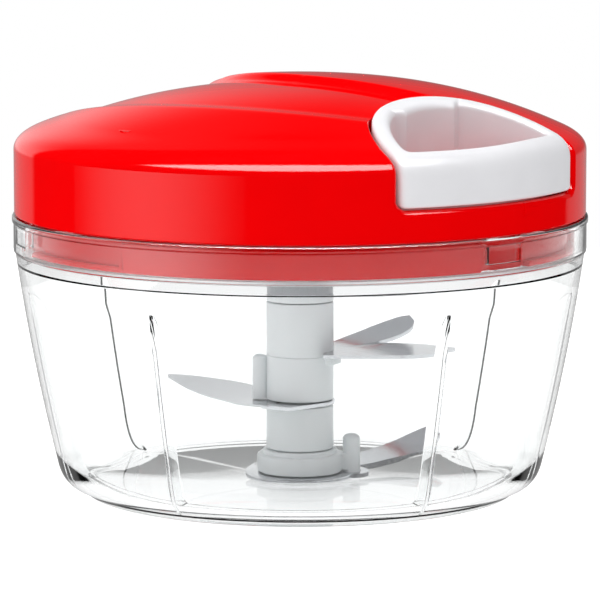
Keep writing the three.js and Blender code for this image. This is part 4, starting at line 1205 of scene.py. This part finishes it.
class CHOPPER_OT_lid_cover(Operator):
    """Adds the red lid shell with its lobed top and the rounded pocket of the handle"""

    bl_idname = "chopper.lid_cover"
    bl_label = "Lid cover"

    mark_width = 5 * MM
    mark_height = 3.4 * MM
    mark_turn = 5.6

    def execute(self, context):
        lid = chopper().lid
        handle = chopper().handle
        steps = chopper().studio.fine_turn
        foot = chopper().bowl.height + 0.3 * MM
        cover = lathe("lid_shell", self.dome_outline(0, foot), steps)
        self.press_valley(cover)
        hollow = lathe("hollow", self.dome_outline(lid.wall, foot - 3 * MM), steps // 2)
        gap = handle.nose_radius + lid.pocket_gap
        pocket = nose_cutter(
            "pocket", gap + lid.pocket_wall, pocket_bottom() - lid.pocket_floor, lid.top, 1 * MM
        )
        filled = lathe("filled", self.dome_outline(0.05 * MM, foot), steps)
        self.press_valley(filled)
        combine(pocket, filled, "INTERSECT")
        combine(cover, hollow, "DIFFERENCE")
        combine(cover, pocket, "UNION")
        room = nose_cutter("room", gap, pocket_bottom(), lid.top + 5 * MM, 2.2 * MM)
        combine(cover, room, "DIFFERENCE")
        combine(cover, edge_rounder("edge", gap, lid.pocket_edge), "DIFFERENCE")
        place = lid.wall_radius - COVER_SCREW_INSET
        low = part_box("lid_base")[1][2] - 7.7 * MM
        for at in COVER_SCREW_TURNS:
            boss = rod("boss", 4 * MM, low, crown(place) - lid.wall * 0.7, 32)
            combine(boss, rod("bore", SCREW_BORE, low - MM, low + 12 * MM, 24), "DIFFERENCE")
            set_out(boss, place, at)
            combine(cover, boss, "UNION")
        combine(cover, self.eyelet_hole(gap), "DIFFERENCE")
        combine(cover, self.mark(), "UNION")
        finish_piece(cover, red_abs(), "lid", ["lid_cover"], crisp=40)
        even_shading(cover)
        return {"FINISHED"}

    @staticmethod
    def eyelet_hole(gap):
        """The hole through the pocket's wall that the cord's eyelet sits in."""
        low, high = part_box("cord_span")
        middle = handle_centre() - gap - chopper().lid.pocket_wall / 2
        bpy.ops.object.select_all(action="DESELECT")
        bpy.ops.mesh.primitive_cylinder_add(
            vertices=32, radius=2.5 * MM, depth=6 * MM, rotation=(0, math.pi / 2, 0),
            location=(middle, 0, (low[2] + high[2]) / 2),
        )
        hole = bpy.context.active_object
        bpy.ops.object.transform_apply(location=True, rotation=True, scale=True)
        return hole

    def mark(self):
        """The small raised triangle under the handle that points down at the bowl."""
        lid = chopper().lid
        bpy.ops.object.select_all(action="DESELECT")
        bpy.ops.mesh.primitive_cylinder_add(
            vertices=3, radius=1, depth=1, rotation=(0, math.pi / 2, 0),
        )
        mark = bpy.context.active_object
        bpy.ops.object.transform_apply(location=False, rotation=True, scale=False)
        low, high = mark.bound_box[0], mark.bound_box[6]
        sizes = (lid.wall, self.mark_width, self.mark_height)
        mark.scale = [size / (b - a) for size, a, b in zip(sizes, low, high)]
        bpy.ops.object.transform_apply(location=False, rotation=False, scale=True)
        tip = max(mark.data.vertices, key=lambda v: abs(v.co.z) - abs(v.co.y))
        if tip.co.z > 0:
            mark.rotation_euler = (math.pi, 0, 0)
            bpy.ops.object.transform_apply(location=False, rotation=True, scale=False)
        low, high = mark.bound_box[0], mark.bound_box[6]
        middle = (low[2] + high[2]) / 2
        out = lid.wall_radius - lid.wall / 2 + 0.25 * MM
        shift(mark, out, 0, pocket_bottom() - 2.1 * MM - middle)
        turn_about_axis(mark, self.mark_turn)
        return mark

    @staticmethod
    def dome_outline(inset, foot):
        """The shell's outline from the crown to the foot of its wall and back to the axis."""
        lid = chopper().lid
        edge = lid.wall_radius - lid.shoulder_width
        count = 90 if inset < 1 * MM else 16
        line = [(edge * s / count, crown(edge * s / count) - inset) for s in range(count + 1)]
        line += [(r - inset, z - inset) for r, z in shoulder_line(12)[1:]]
        blend = 0.5 * MM if inset == 0 else 0
        line += rounded([
            (line[-1][0], line[-1][1], 0), (lid.wall_radius - inset, foot, blend), (0, foot, 0),
        ])[1:]
        return line

    @staticmethod
    def press_valley(cover):
        """Presses the valley into the top of the shell."""
        edge = chopper().lid.wall_radius - chopper().lid.shoulder_width
        for vertex in cover.data.vertices:
            x, y, z = vertex.co
            r = math.hypot(x, y)
            if r < edge and z > crown(r) - 0.5 * MM:
                vertex.co.z = z - valley(x, y)


class CHOPPER_OT_handle(Operator):
    """Adds the pull handle, a loop that lies flush in the lid with a boss for the cord"""

    bl_idname = "chopper.handle"
    bl_label = "Pull handle"

    middle = 60 * MM
    corner_power = 36
    front_from, front_fade = 76 * MM, 3 * MM
    far_from, far_fade = 12 * MM, 34 * MM

    def execute(self, context):
        handle = chopper().handle
        stations = 320
        rings = []
        angles = [2 * math.pi * k / stations for k in range(stations)]
        outer = [self.reach_outer(angle) for angle in angles]
        inner = [self.reach_inner(angle) for angle in angles]
        for k, angle in enumerate(angles):
            lean_out = self.lean(outer, k, stations)
            lean_in = self.lean(inner, k, stations)
            rings.append(self.section(angle, outer[k], inner[k], lean_out, lean_in))
        loop = skin("handle_loop", rings, looped=True)
        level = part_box("cord_knot")
        z = (level[0][2] + level[1][2]) / 2
        knot = level[0][0] + handle.nose_shift
        for radius, start, end in (
            (handle.cord_radius + 0.3 * MM, 30 * MM, knot + 4 * MM),
            (level[1][1] + 0.3 * MM, knot - 0.3 * MM, 60 * MM),
        ):
            bore = rod("bore", radius, 0, end - start, 32)
            lay_along_x(bore, start, z)
            combine(loop, bore, "DIFFERENCE")
        finish_piece(loop, white_abs(), "handle", ["pull_handle"], crisp=40)
        return {"FINISHED"}

    def to_circle(self, angle, centre, radius):
        """Distance from the loop's middle to a circle on the X axis, along an angle."""
        away = self.middle - centre
        cos = math.cos(angle)
        inside = (away * cos) ** 2 - away ** 2 + radius ** 2
        return -away * cos + math.sqrt(max(inside, 0))

    def soft_least(self, reaches):
        """The least of some distances, with their corners rounded."""
        power = self.corner_power
        least = min(reaches)
        return least * sum((least / reach) ** power for reach in reaches) ** (-1 / power)

    def reach_outer(self, angle):
        """Distance from the loop's middle to its outline."""
        handle = chopper().handle
        centre = handle_centre()
        wall = chopper().lid.wall_radius - 0.2 * MM
        reaches = [self.to_circle(angle, 0, wall)]
        nose = self.to_circle(angle, centre, handle.nose_radius)
        if self.middle + nose * math.cos(angle) < centre:
            reaches.append(nose)
        else:
            reaches.append(handle.nose_radius / max(abs(math.sin(angle)), 1e-6))
        return self.soft_least(reaches)

    def reach_inner(self, angle):
        """Distance from the loop's middle to the finger hole's outline, with the cord's boss."""
        handle = chopper().handle
        centre = handle_centre()
        hole = self.to_circle(angle, centre, handle.finger_radius)
        x = self.middle + hole * math.cos(angle) - centre
        y = hole * math.sin(angle)
        off_nose = math.degrees(math.atan2(abs(y), -x))
        boss = step_up((handle.boss_half_turn - off_nose) / 3)
        hole = self.to_circle(angle, centre, handle.finger_radius - handle.boss_depth * boss)
        front = self.to_circle(angle, 0, chopper().lid.wall_radius - handle.front_width)
        return self.soft_least([hole, front])

    @staticmethod
    def lean(reaches, k, stations):
        """Cosine of the angle between the ray and the outline's normal."""
        slope = (reaches[(k + 1) % stations] - reaches[k - 1]) / (4 * math.pi / stations)
        return max(reaches[k] / math.hypot(reaches[k], slope), 0.55)

    def section(self, angle, outer, inner, lean_out, lean_in):
        """The loop's section on one ray, from its under face up the outside and down inside."""
        handle = chopper().handle
        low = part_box("pull_handle")[0][2]
        proud = 0.2 * MM
        cos, sin = math.cos(angle), math.sin(angle)
        out_radius = math.hypot(self.middle + outer * cos, outer * sin)
        front = step_up((out_radius - self.front_from) / self.front_fade)
        edge_out = handle.edge + 0.6 * MM * front
        edge_in = handle.edge
        under = 1.1 * MM

        def at(reach, z):
            return (self.middle + reach * cos, reach * sin, z)

        def top(reach, drop):
            x, y = self.middle + reach * cos, reach * sin
            lift = handle.far_lift * step_up((y + self.far_from) / self.far_fade)
            return at(reach, lid_height(math.hypot(x, y)) + proud + lift - drop)

        small = [self.short_of_corner(under, s / 3) for s in range(4)]
        wide = [self.short_of_corner(edge_out, s / 6) for s in range(7)]
        near = [self.short_of_corner(edge_in, s / 6) for s in range(7)]
        ring = [at(outer - along / lean_out, low + across) for along, across in small]
        ring += [top(outer - across / lean_out, along) for along, across in wide]
        flat_start = outer - edge_out / lean_out
        flat_end = inner + edge_in / lean_in
        ring += [top(flat_start + (flat_end - flat_start) * s / 6, 0) for s in range(1, 6)]
        ring += [top(inner + along / lean_in, across) for along, across in near]
        ring += [at(inner + across / lean_in, low + along) for along, across in small]
        return ring

    @staticmethod
    def short_of_corner(edge, share):
        """How far a point of a rounded edge lies short of its corner, along and across."""
        bend = math.radians(90 * share)
        return edge * (1 - math.sin(bend)), edge * (1 - math.cos(bend))


class CHOPPER_OT_lid_base(Operator):
    """Adds the lid's base: the red skirt with the bayonet bands, and the white dish inside it"""

    bl_idname = "chopper.lid_base"
    bl_label = "Lid base"

    band_start = 38
    band_end = 6.2
    ledge_start = 7.5

    def execute(self, context):
        lid = chopper().lid
        bowl = chopper().bowl
        steps = chopper().studio.fine_turn
        skirt = bowl.rim_radius - 0.4 * MM - bowl.collar_wall - lid.band_proud - 0.3 * MM
        inner = skirt - lid.skirt_wall
        skirt_low = bowl.height - 9 * MM
        skirt_high = bowl.height + 4.4 * MM
        plate = bowl.height - 3.6 * MM
        wall = lathe("lid_base_skirt", closed(rounded([
            (inner, skirt_low, 0.5 * MM), (skirt, skirt_low, 0.6 * MM),
            (skirt, skirt_high, 0.3 * MM), (inner, skirt_high, 0.3 * MM),
        ], 3)), steps)
        eye, rim = 11 * MM, inner + 0.2 * MM
        base = lathe("lid_base_dish", closed(rounded([
            (eye, plate - 2 * MM, 0.3 * MM), (rim, plate - 2 * MM, 0), (rim, plate, 0),
            (eye, plate, 0.3 * MM),
        ], 3)), steps)
        bore, out = 8.6 * MM, 13.4 * MM
        bearing = lathe("bearing", closed(rounded([
            (bore, plate - 5 * MM, 0.4 * MM), (out, plate - 5 * MM, 0.6 * MM), (out, plate, 0),
            (bore, plate, 0.3 * MM),
        ], 3)), 96)
        combine(base, bearing, "UNION")
        band_top = bowl.height - 0.9 * MM
        ledge_top = bowl.height - 7.4 * MM
        for at in (0, 120, 240):
            for top, start, end in (
                (band_top, self.band_start, 120 - self.band_end),
                (ledge_top, self.ledge_start, self.band_start + 1),
            ):
                band = self.band(skirt, skirt_low, top, at + start, at + end)
                combine(wall, band, "UNION")
        post_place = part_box("cap_screw_1")
        x = (post_place[0][0] + post_place[1][0]) / 2
        y = (post_place[0][1] + post_place[1][1]) / 2
        post_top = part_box("mechanism_cap")[1][2] - 2.3 * MM
        for k in range(3):
            post = lathe("post", rounded([
                (0, plate - 1 * MM, 0), (2.8 * MM, plate - 1 * MM, 0),
                (2.8 * MM, post_top, 0.3 * MM), (0, post_top, 0),
            ]), 32)
            bore = rod("bore", SCREW_BORE, post_top - 9 * MM, post_top + 1 * MM, 24)
            combine(post, bore, "DIFFERENCE")
            set_out(post, math.hypot(x, y), math.degrees(math.atan2(y, x)) + 120 * k)
            combine(base, post, "UNION")
        for at in COVER_SCREW_TURNS:
            hole = rod("hole", SCREW_BORE, plate - 4 * MM, plate + 2 * MM, 24)
            set_out(hole, lid.wall_radius - COVER_SCREW_INSET, at)
            combine(base, hole, "DIFFERENCE")
        finish_piece(wall, red_abs(), "lid", ["lid_base"])
        finish_piece(base, white_abs(), "lid", ["lid_base"])
        return {"FINISHED"}

    def band(self, skirt, low, high, start, end):
        """A raised band round the skirt, its end corners rounded."""
        lid = chopper().lid
        outer = skirt + lid.band_proud
        corner = min(2 * MM, (high - low) / 2)
        corner_turn = math.degrees(corner / outer)
        rings = []
        bends = [math.radians(15 * s) for s in range(6)]
        stations = [start + corner_turn * (1 - math.cos(bend)) for bend in bends]
        drops = [corner * (1 - math.sin(bend)) for bend in bends]
        count = max(int((end - start) * 2), 8)
        level = end - start - 2 * corner_turn
        stations += [start + corner_turn + level * s / count for s in range(count + 1)]
        drops += [0] * (count + 1)
        stations += [end - (at - start) for at in reversed(stations[:6])]
        drops += list(reversed(drops[:6]))
        for at, drop in zip(stations, drops):
            turned = math.radians(at)
            inner = skirt - lid.skirt_wall / 2
            top = high - drop
            blend = min(0.4 * MM, (top - low) / 4)
            outline = (
                (inner, low), (outer - blend, low), (outer, low + blend), (outer, top - blend),
                (outer - blend, top), (inner, top),
            )
            rings.append([(r * math.cos(turned), r * math.sin(turned), z) for r, z in outline])
        return skin("band", rings)


class CHOPPER_OT_seal(Operator):
    """Adds the silicone seal between the bowl and the lid"""

    bl_idname = "chopper.seal"
    bl_label = "Seal"

    def execute(self, context):
        low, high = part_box("lid_seal")
        outer = high[0]
        inner = outer - 3.6 * MM
        outline = closed(rounded([
            (inner, low[2], 0.3 * MM), (outer, low[2], 0.3 * MM), (outer, high[2], 0.3 * MM),
            (inner, high[2], 0.3 * MM),
        ]))
        seal = lathe("seal_ring", outline, chopper().studio.fine_turn)
        finish_piece(seal, silicone(), "seal", ["lid_seal"])
        return {"FINISHED"}


class CHOPPER_OT_post(Operator):
    """Adds the blade post: the core and the three sleeves"""

    bl_idname = "chopper.post"
    bl_label = "Blade post"

    def execute(self, context):
        small = chopper().studio.small_turn
        stack = chopper().stack
        self.core(small)
        inner = stack.core_radius + 0.3 * MM
        hub = stack.covered_hub + 0.1 * MM
        for name in ("lower_sleeve", "middle_sleeve", "upper_sleeve"):
            low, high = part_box(name)
            foot, blend = low[2], 0.35 * MM
            if name == "upper_sleeve":
                foot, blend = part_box("middle_sleeve")[1][2] + 0.05 * MM, 0.1 * MM
            outline = closed(rounded([
                (inner, low[2], 0.2 * MM), (hub, low[2], 0), (hub, foot, 0),
                (stack.sleeve_radius, foot, blend), (stack.sleeve_radius, high[2], 0.35 * MM),
                (inner, high[2], 0.2 * MM),
            ]))
            sleeve = lathe(f"{name}_tube", outline, small)
            if name == "middle_sleeve":
                self.peg_and_tab(sleeve, low[2], high[2])
            finish_piece(sleeve, white_acetal(), "blades", [name])
        return {"FINISHED"}

    @staticmethod
    def peg(radius, low, high):
        """A round peg with a domed nose."""
        dome = radius * 0.6
        bends = [math.radians(a) for a in range(0, 91, 15)]
        nose = [(radius * math.cos(bend), high - dome + dome * math.sin(bend)) for bend in bends]
        return lathe("peg", [(0, low), (radius, low)] + nose, 24)

    def peg_and_tab(self, sleeve, low, high):
        """The peg beside the middle sleeve and the tab under the upper blade."""
        stack = chopper().stack
        peg = self.peg(2.1 * MM, low, high)
        set_out(peg, stack.sleeve_radius + 1.8 * MM, -135.6)
        combine(sleeve, peg, "UNION")
        tab = block((3.4 * MM, 5 * MM, 2.2 * MM), (9.9 * MM, 0, high - 1.1 * MM), 0.3 * MM)
        turn_about_axis(tab, 20)
        combine(sleeve, tab, "UNION")

    def core(self, small):
        """The inner post with its foot flange, the peg on the flange's ear and its bore."""
        stack = chopper().stack
        low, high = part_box("blade_core")
        blade_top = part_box("lower_blade")[0][2] + stack.blade_thickness
        flange = blade_top + 0.3 * MM
        flange_top = flange + FLANGE_HEIGHT
        step_top = flange_top + 1.2 * MM
        radius, wide, step = stack.core_radius, 12 * MM, 10.4 * MM
        core = lathe("blade_core_post", rounded([
            (0, low[2], 0), (radius, low[2], 0.3 * MM), (radius, flange, 0),
            (wide, flange, 0.4 * MM), (wide, flange_top, 0.6 * MM),
            (step, flange_top, 0.3 * MM), (step, step_top, 0.4 * MM),
            (radius, step_top, 0), (radius, high[2], 0.4 * MM), (0, high[2], 0),
        ]), small)
        place = (step, 0, (flange + flange_top) / 2)
        ear = block((8 * MM, 4.8 * MM, FLANGE_HEIGHT), place, 0.4 * MM)
        turn_about_axis(ear, EAR_TURN)
        combine(core, ear, "UNION")
        peg = self.peg(2.4 * MM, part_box("lower_blade")[0][2], flange + 9.3 * MM)
        set_out(peg, EAR_PEG_PLACE, EAR_TURN)
        combine(core, peg, "UNION")
        bore_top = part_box("spindle_pin")[1][2] + 0.3 * MM
        bore = lathe("bore", [
            (0, low[2] - 1 * MM), (4.9 * MM, low[2] - 1 * MM), (4.9 * MM, 7.5 * MM),
            (PIN_BORE, 7.5 * MM), (PIN_BORE, bore_top), (0, bore_top),
        ], 48)
        combine(core, bore, "DIFFERENCE")
        finish_piece(core, white_acetal(), "blades", ["blade_core"])


class CHOPPER_OT_blades(Operator):
    """Adds the three steel blades, each with a round middle and one or two curved arms"""

    bl_idname = "chopper.blades"
    bl_label = "Blades"

    def execute(self, context):
        self.blade("upper_blade", chopper().stack.covered_hub, [
            blade_arm("fin", FIN_SHARES, reach=43.5 * MM, width=23 * MM, height=0, turned=45),
            blade_arm("horn", HORN_SHARES, reach=40 * MM, width=8 * MM, height=7.5 * MM, turned=81),
        ])
        thick = chopper().stack.blade_thickness
        heel = skin("heel", [[(x * MM, y * MM, z) for x, y in HEEL] for z in (0, thick)])
        scythe = blade_arm(
            "scythe", SCYTHE_SHARES, reach=47 * MM, width=21 * MM, height=3 * MM, turned=192,
        )
        self.blade("middle_blade", 9.8 * MM, [scythe, heel])
        horn = blade_arm(
            "horn", HORN_SHARES, reach=47 * MM, width=8 * MM, height=7.5 * MM, turned=76,
        )
        self.blade("lower_blade", 15.2 * MM, [horn], peg=True)
        return {"FINISHED"}

    @staticmethod
    def blade(name, hub, arms, peg=False):
        """A blade at the level of its CAD node."""
        stack = chopper().stack
        thick = stack.blade_thickness
        small = chopper().studio.small_turn
        plate = lathe(f"{name}_plate", rounded([
            (0, 0, 0), (hub, 0, 0.1 * MM), (hub, thick, 0.1 * MM), (0, thick, 0),
        ], 2), small)
        for arm in arms:
            combine(plate, arm, "UNION")
        if peg:
            for eye, operation in (
                (rod("eye", 4.8 * MM, 0, thick, 32), "UNION"),
                (rod("hole", 2.7 * MM, -MM, 2 * MM, 32), "DIFFERENCE"),
            ):
                set_out(eye, EAR_PEG_PLACE, EAR_TURN)
                combine(plate, eye, operation)
        bore = rod("bore", stack.core_radius + 0.3 * MM, -MM, 2 * MM, small)
        combine(plate, bore, "DIFFERENCE")
        shift(plate, 0, 0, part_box(name)[0][2])
        finish_piece(plate, ground_steel(), "blades", [name], crisp=25)


class CHOPPER_OT_cord(Operator):
    """Adds the braided cord: its winding, its run in the lid, its lead to the handle, its knot"""

    bl_idname = "chopper.cord"
    bl_label = "Cord"

    crossing = 1.6 * MM
    sides = 12

    def execute(self, context):
        handle = chopper().handle
        radius = handle.cord_radius
        span_low, span_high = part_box("cord_span")
        level = (span_low[2] + span_high[2]) / 2
        lead_low, lead_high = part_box("cord_lead")
        drum = 21.15 * MM
        eyelet = lead_low[0] + handle.nose_shift
        leave = -math.acos(drum / eyelet)
        top = level - handle.cord_turn_height
        steps, run_steps, lead_steps = 48, 8, 24
        points = []
        for s in range(int(handle.cord_turns * steps) + 1):
            angle = leave - s / steps * 2 * math.pi
            z = top - handle.cord_turn_height * s / steps
            points.append(Vector((drum * math.cos(angle), drum * math.sin(angle), z)))
        winding = tube_run("cord_on_reel", points, radius, self.sides, self.crossing)
        finish_piece(winding, braided_cord(), "reel", ["cord_winding"])
        start = Vector((drum * math.cos(leave), drum * math.sin(leave), level))
        end = Vector((eyelet, 0, level))
        way = (end - start).normalized()
        first, reach = start + way * radius, end - start - way * radius * 2
        run = [first + reach * (s / run_steps) for s in range(run_steps + 1)]
        span = tube_run("cord_run", run, radius, self.sides, self.crossing)
        finish_piece(span, braided_cord(), "lid", ["cord_span"])
        lead_end = lead_high[0] + handle.nose_shift
        lead_length = lead_end - eyelet
        run = [
            Vector((eyelet + lead_length * s / lead_steps, 0, level)) for s in range(lead_steps + 1)
        ]
        lead = tube_run("cord_to_handle", run, radius, self.sides, self.crossing)
        lead.data.materials.append(braided_cord())
        smooth_by(lead, 60)
        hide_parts("cord_lead")
        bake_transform(lead)
        knot_low, knot_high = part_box("cord_knot")
        bpy.ops.object.select_all(action="DESELECT")
        bpy.ops.mesh.primitive_torus_add(
            location=((knot_low[0] + knot_high[0]) / 2 + handle.nose_shift, 0, level),
            rotation=(0.5, 1.2, 0.3), major_segments=48, minor_segments=16,
            major_radius=1.3 * MM, minor_radius=1.05 * MM,
        )
        knot = context.active_object
        knot.name = "cord_knot_loop"
        bpy.ops.object.transform_apply(location=True, rotation=True, scale=True)
        knot.data.uv_layers[0].name = "run"
        finish_piece(knot, braided_cord(), "handle", ["cord_knot"])
        return {"FINISHED"}


class CHOPPER_OT_eyelet(Operator):
    """Adds the steel eyelet that lines the cord's hole in the pocket's wall"""

    bl_idname = "chopper.eyelet"
    bl_label = "Cord eyelet"

    def execute(self, context):
        low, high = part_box("cord_eyelet")
        bore, radius = 1.4 * MM, 2.2 * MM
        lip = high[1]
        depth = high[0] - low[0]
        eyelet = lathe("eyelet_ring", closed([
            (bore, 0), (lip, 0), (lip, 0.7 * MM), (radius, 0.9 * MM), (radius, depth),
            (bore, depth),
        ]), 48)
        lay_along_x(eyelet, low[0] + chopper().handle.nose_shift, (low[2] + high[2]) / 2)
        finish_piece(eyelet, ground_steel(), "lid", ["cord_eyelet"])
        return {"FINISHED"}


class CHOPPER_OT_mechanism(Operator):
    """Gives the CAD pieces that stay their finishes: the reel, the clutch and the fasteners"""

    bl_idname = "chopper.mechanism"
    bl_label = "Mechanism"

    def execute(self, context):
        finishes = {
            "drive_cap": white_acetal(), "drive_hub": grey_nylon(), "thrust_washer": white_acetal(),
            "reel": white_acetal(), "mechanism_cap": dark_acetal(),
            "return_spring": ground_steel(), "axle": ground_steel(), "spindle_pin": ground_steel(),
        }
        for k in (1, 2):
            finishes[f"pawl_{k}"] = dark_acetal()
            finishes[f"pawl_pin_{k}"] = ground_steel()
        for k in (1, 2, 3):
            finishes[f"cover_screw_{k}"] = ground_steel()
            finishes[f"cap_screw_{k}"] = ground_steel()
        for name, material in finishes.items():
            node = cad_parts[name]
            for slot in node.material_slots:
                slot.material = material
        return {"FINISHED"}


class CHOPPER_PT_panel(Panel):
    """Lists the chopper's pieces in the sidebar"""

    bl_idname = "CHOPPER_PT_panel"
    bl_label = "Food chopper"
    bl_space_type = "VIEW_3D"
    bl_region_type = "UI"
    bl_category = "Chopper"

    def draw(self, context):
        for operator in OPERATORS:
            self.layout.operator(operator.bl_idname)


GROUPS = (BowlSizes, LidSizes, HandleSizes, StackSizes, Finishes, StudioSizes, Chopper)
OPERATORS = (
    CHOPPER_OT_stage, CHOPPER_OT_bowl, CHOPPER_OT_lid_cover, CHOPPER_OT_handle, CHOPPER_OT_lid_base,
    CHOPPER_OT_seal, CHOPPER_OT_post, CHOPPER_OT_blades, CHOPPER_OT_cord, CHOPPER_OT_eyelet,
    CHOPPER_OT_mechanism,
)


def register():
    """Registers the properties, the operators and the panel."""
    for kind in (*GROUPS, *OPERATORS, CHOPPER_PT_panel):
        bpy.utils.register_class(kind)
    bpy.types.Scene.chopper = PointerProperty(type=Chopper)


def unregister():
    """Takes them out again."""
    del bpy.types.Scene.chopper
    for kind in reversed((*GROUPS, *OPERATORS, CHOPPER_PT_panel)):
        bpy.utils.unregister_class(kind)


def main():
    register()
    for operator in OPERATORS:
        group, name = operator.bl_idname.split(".")
        getattr(getattr(bpy.ops, group), name)()


if __name__ == "__main__":
    main()
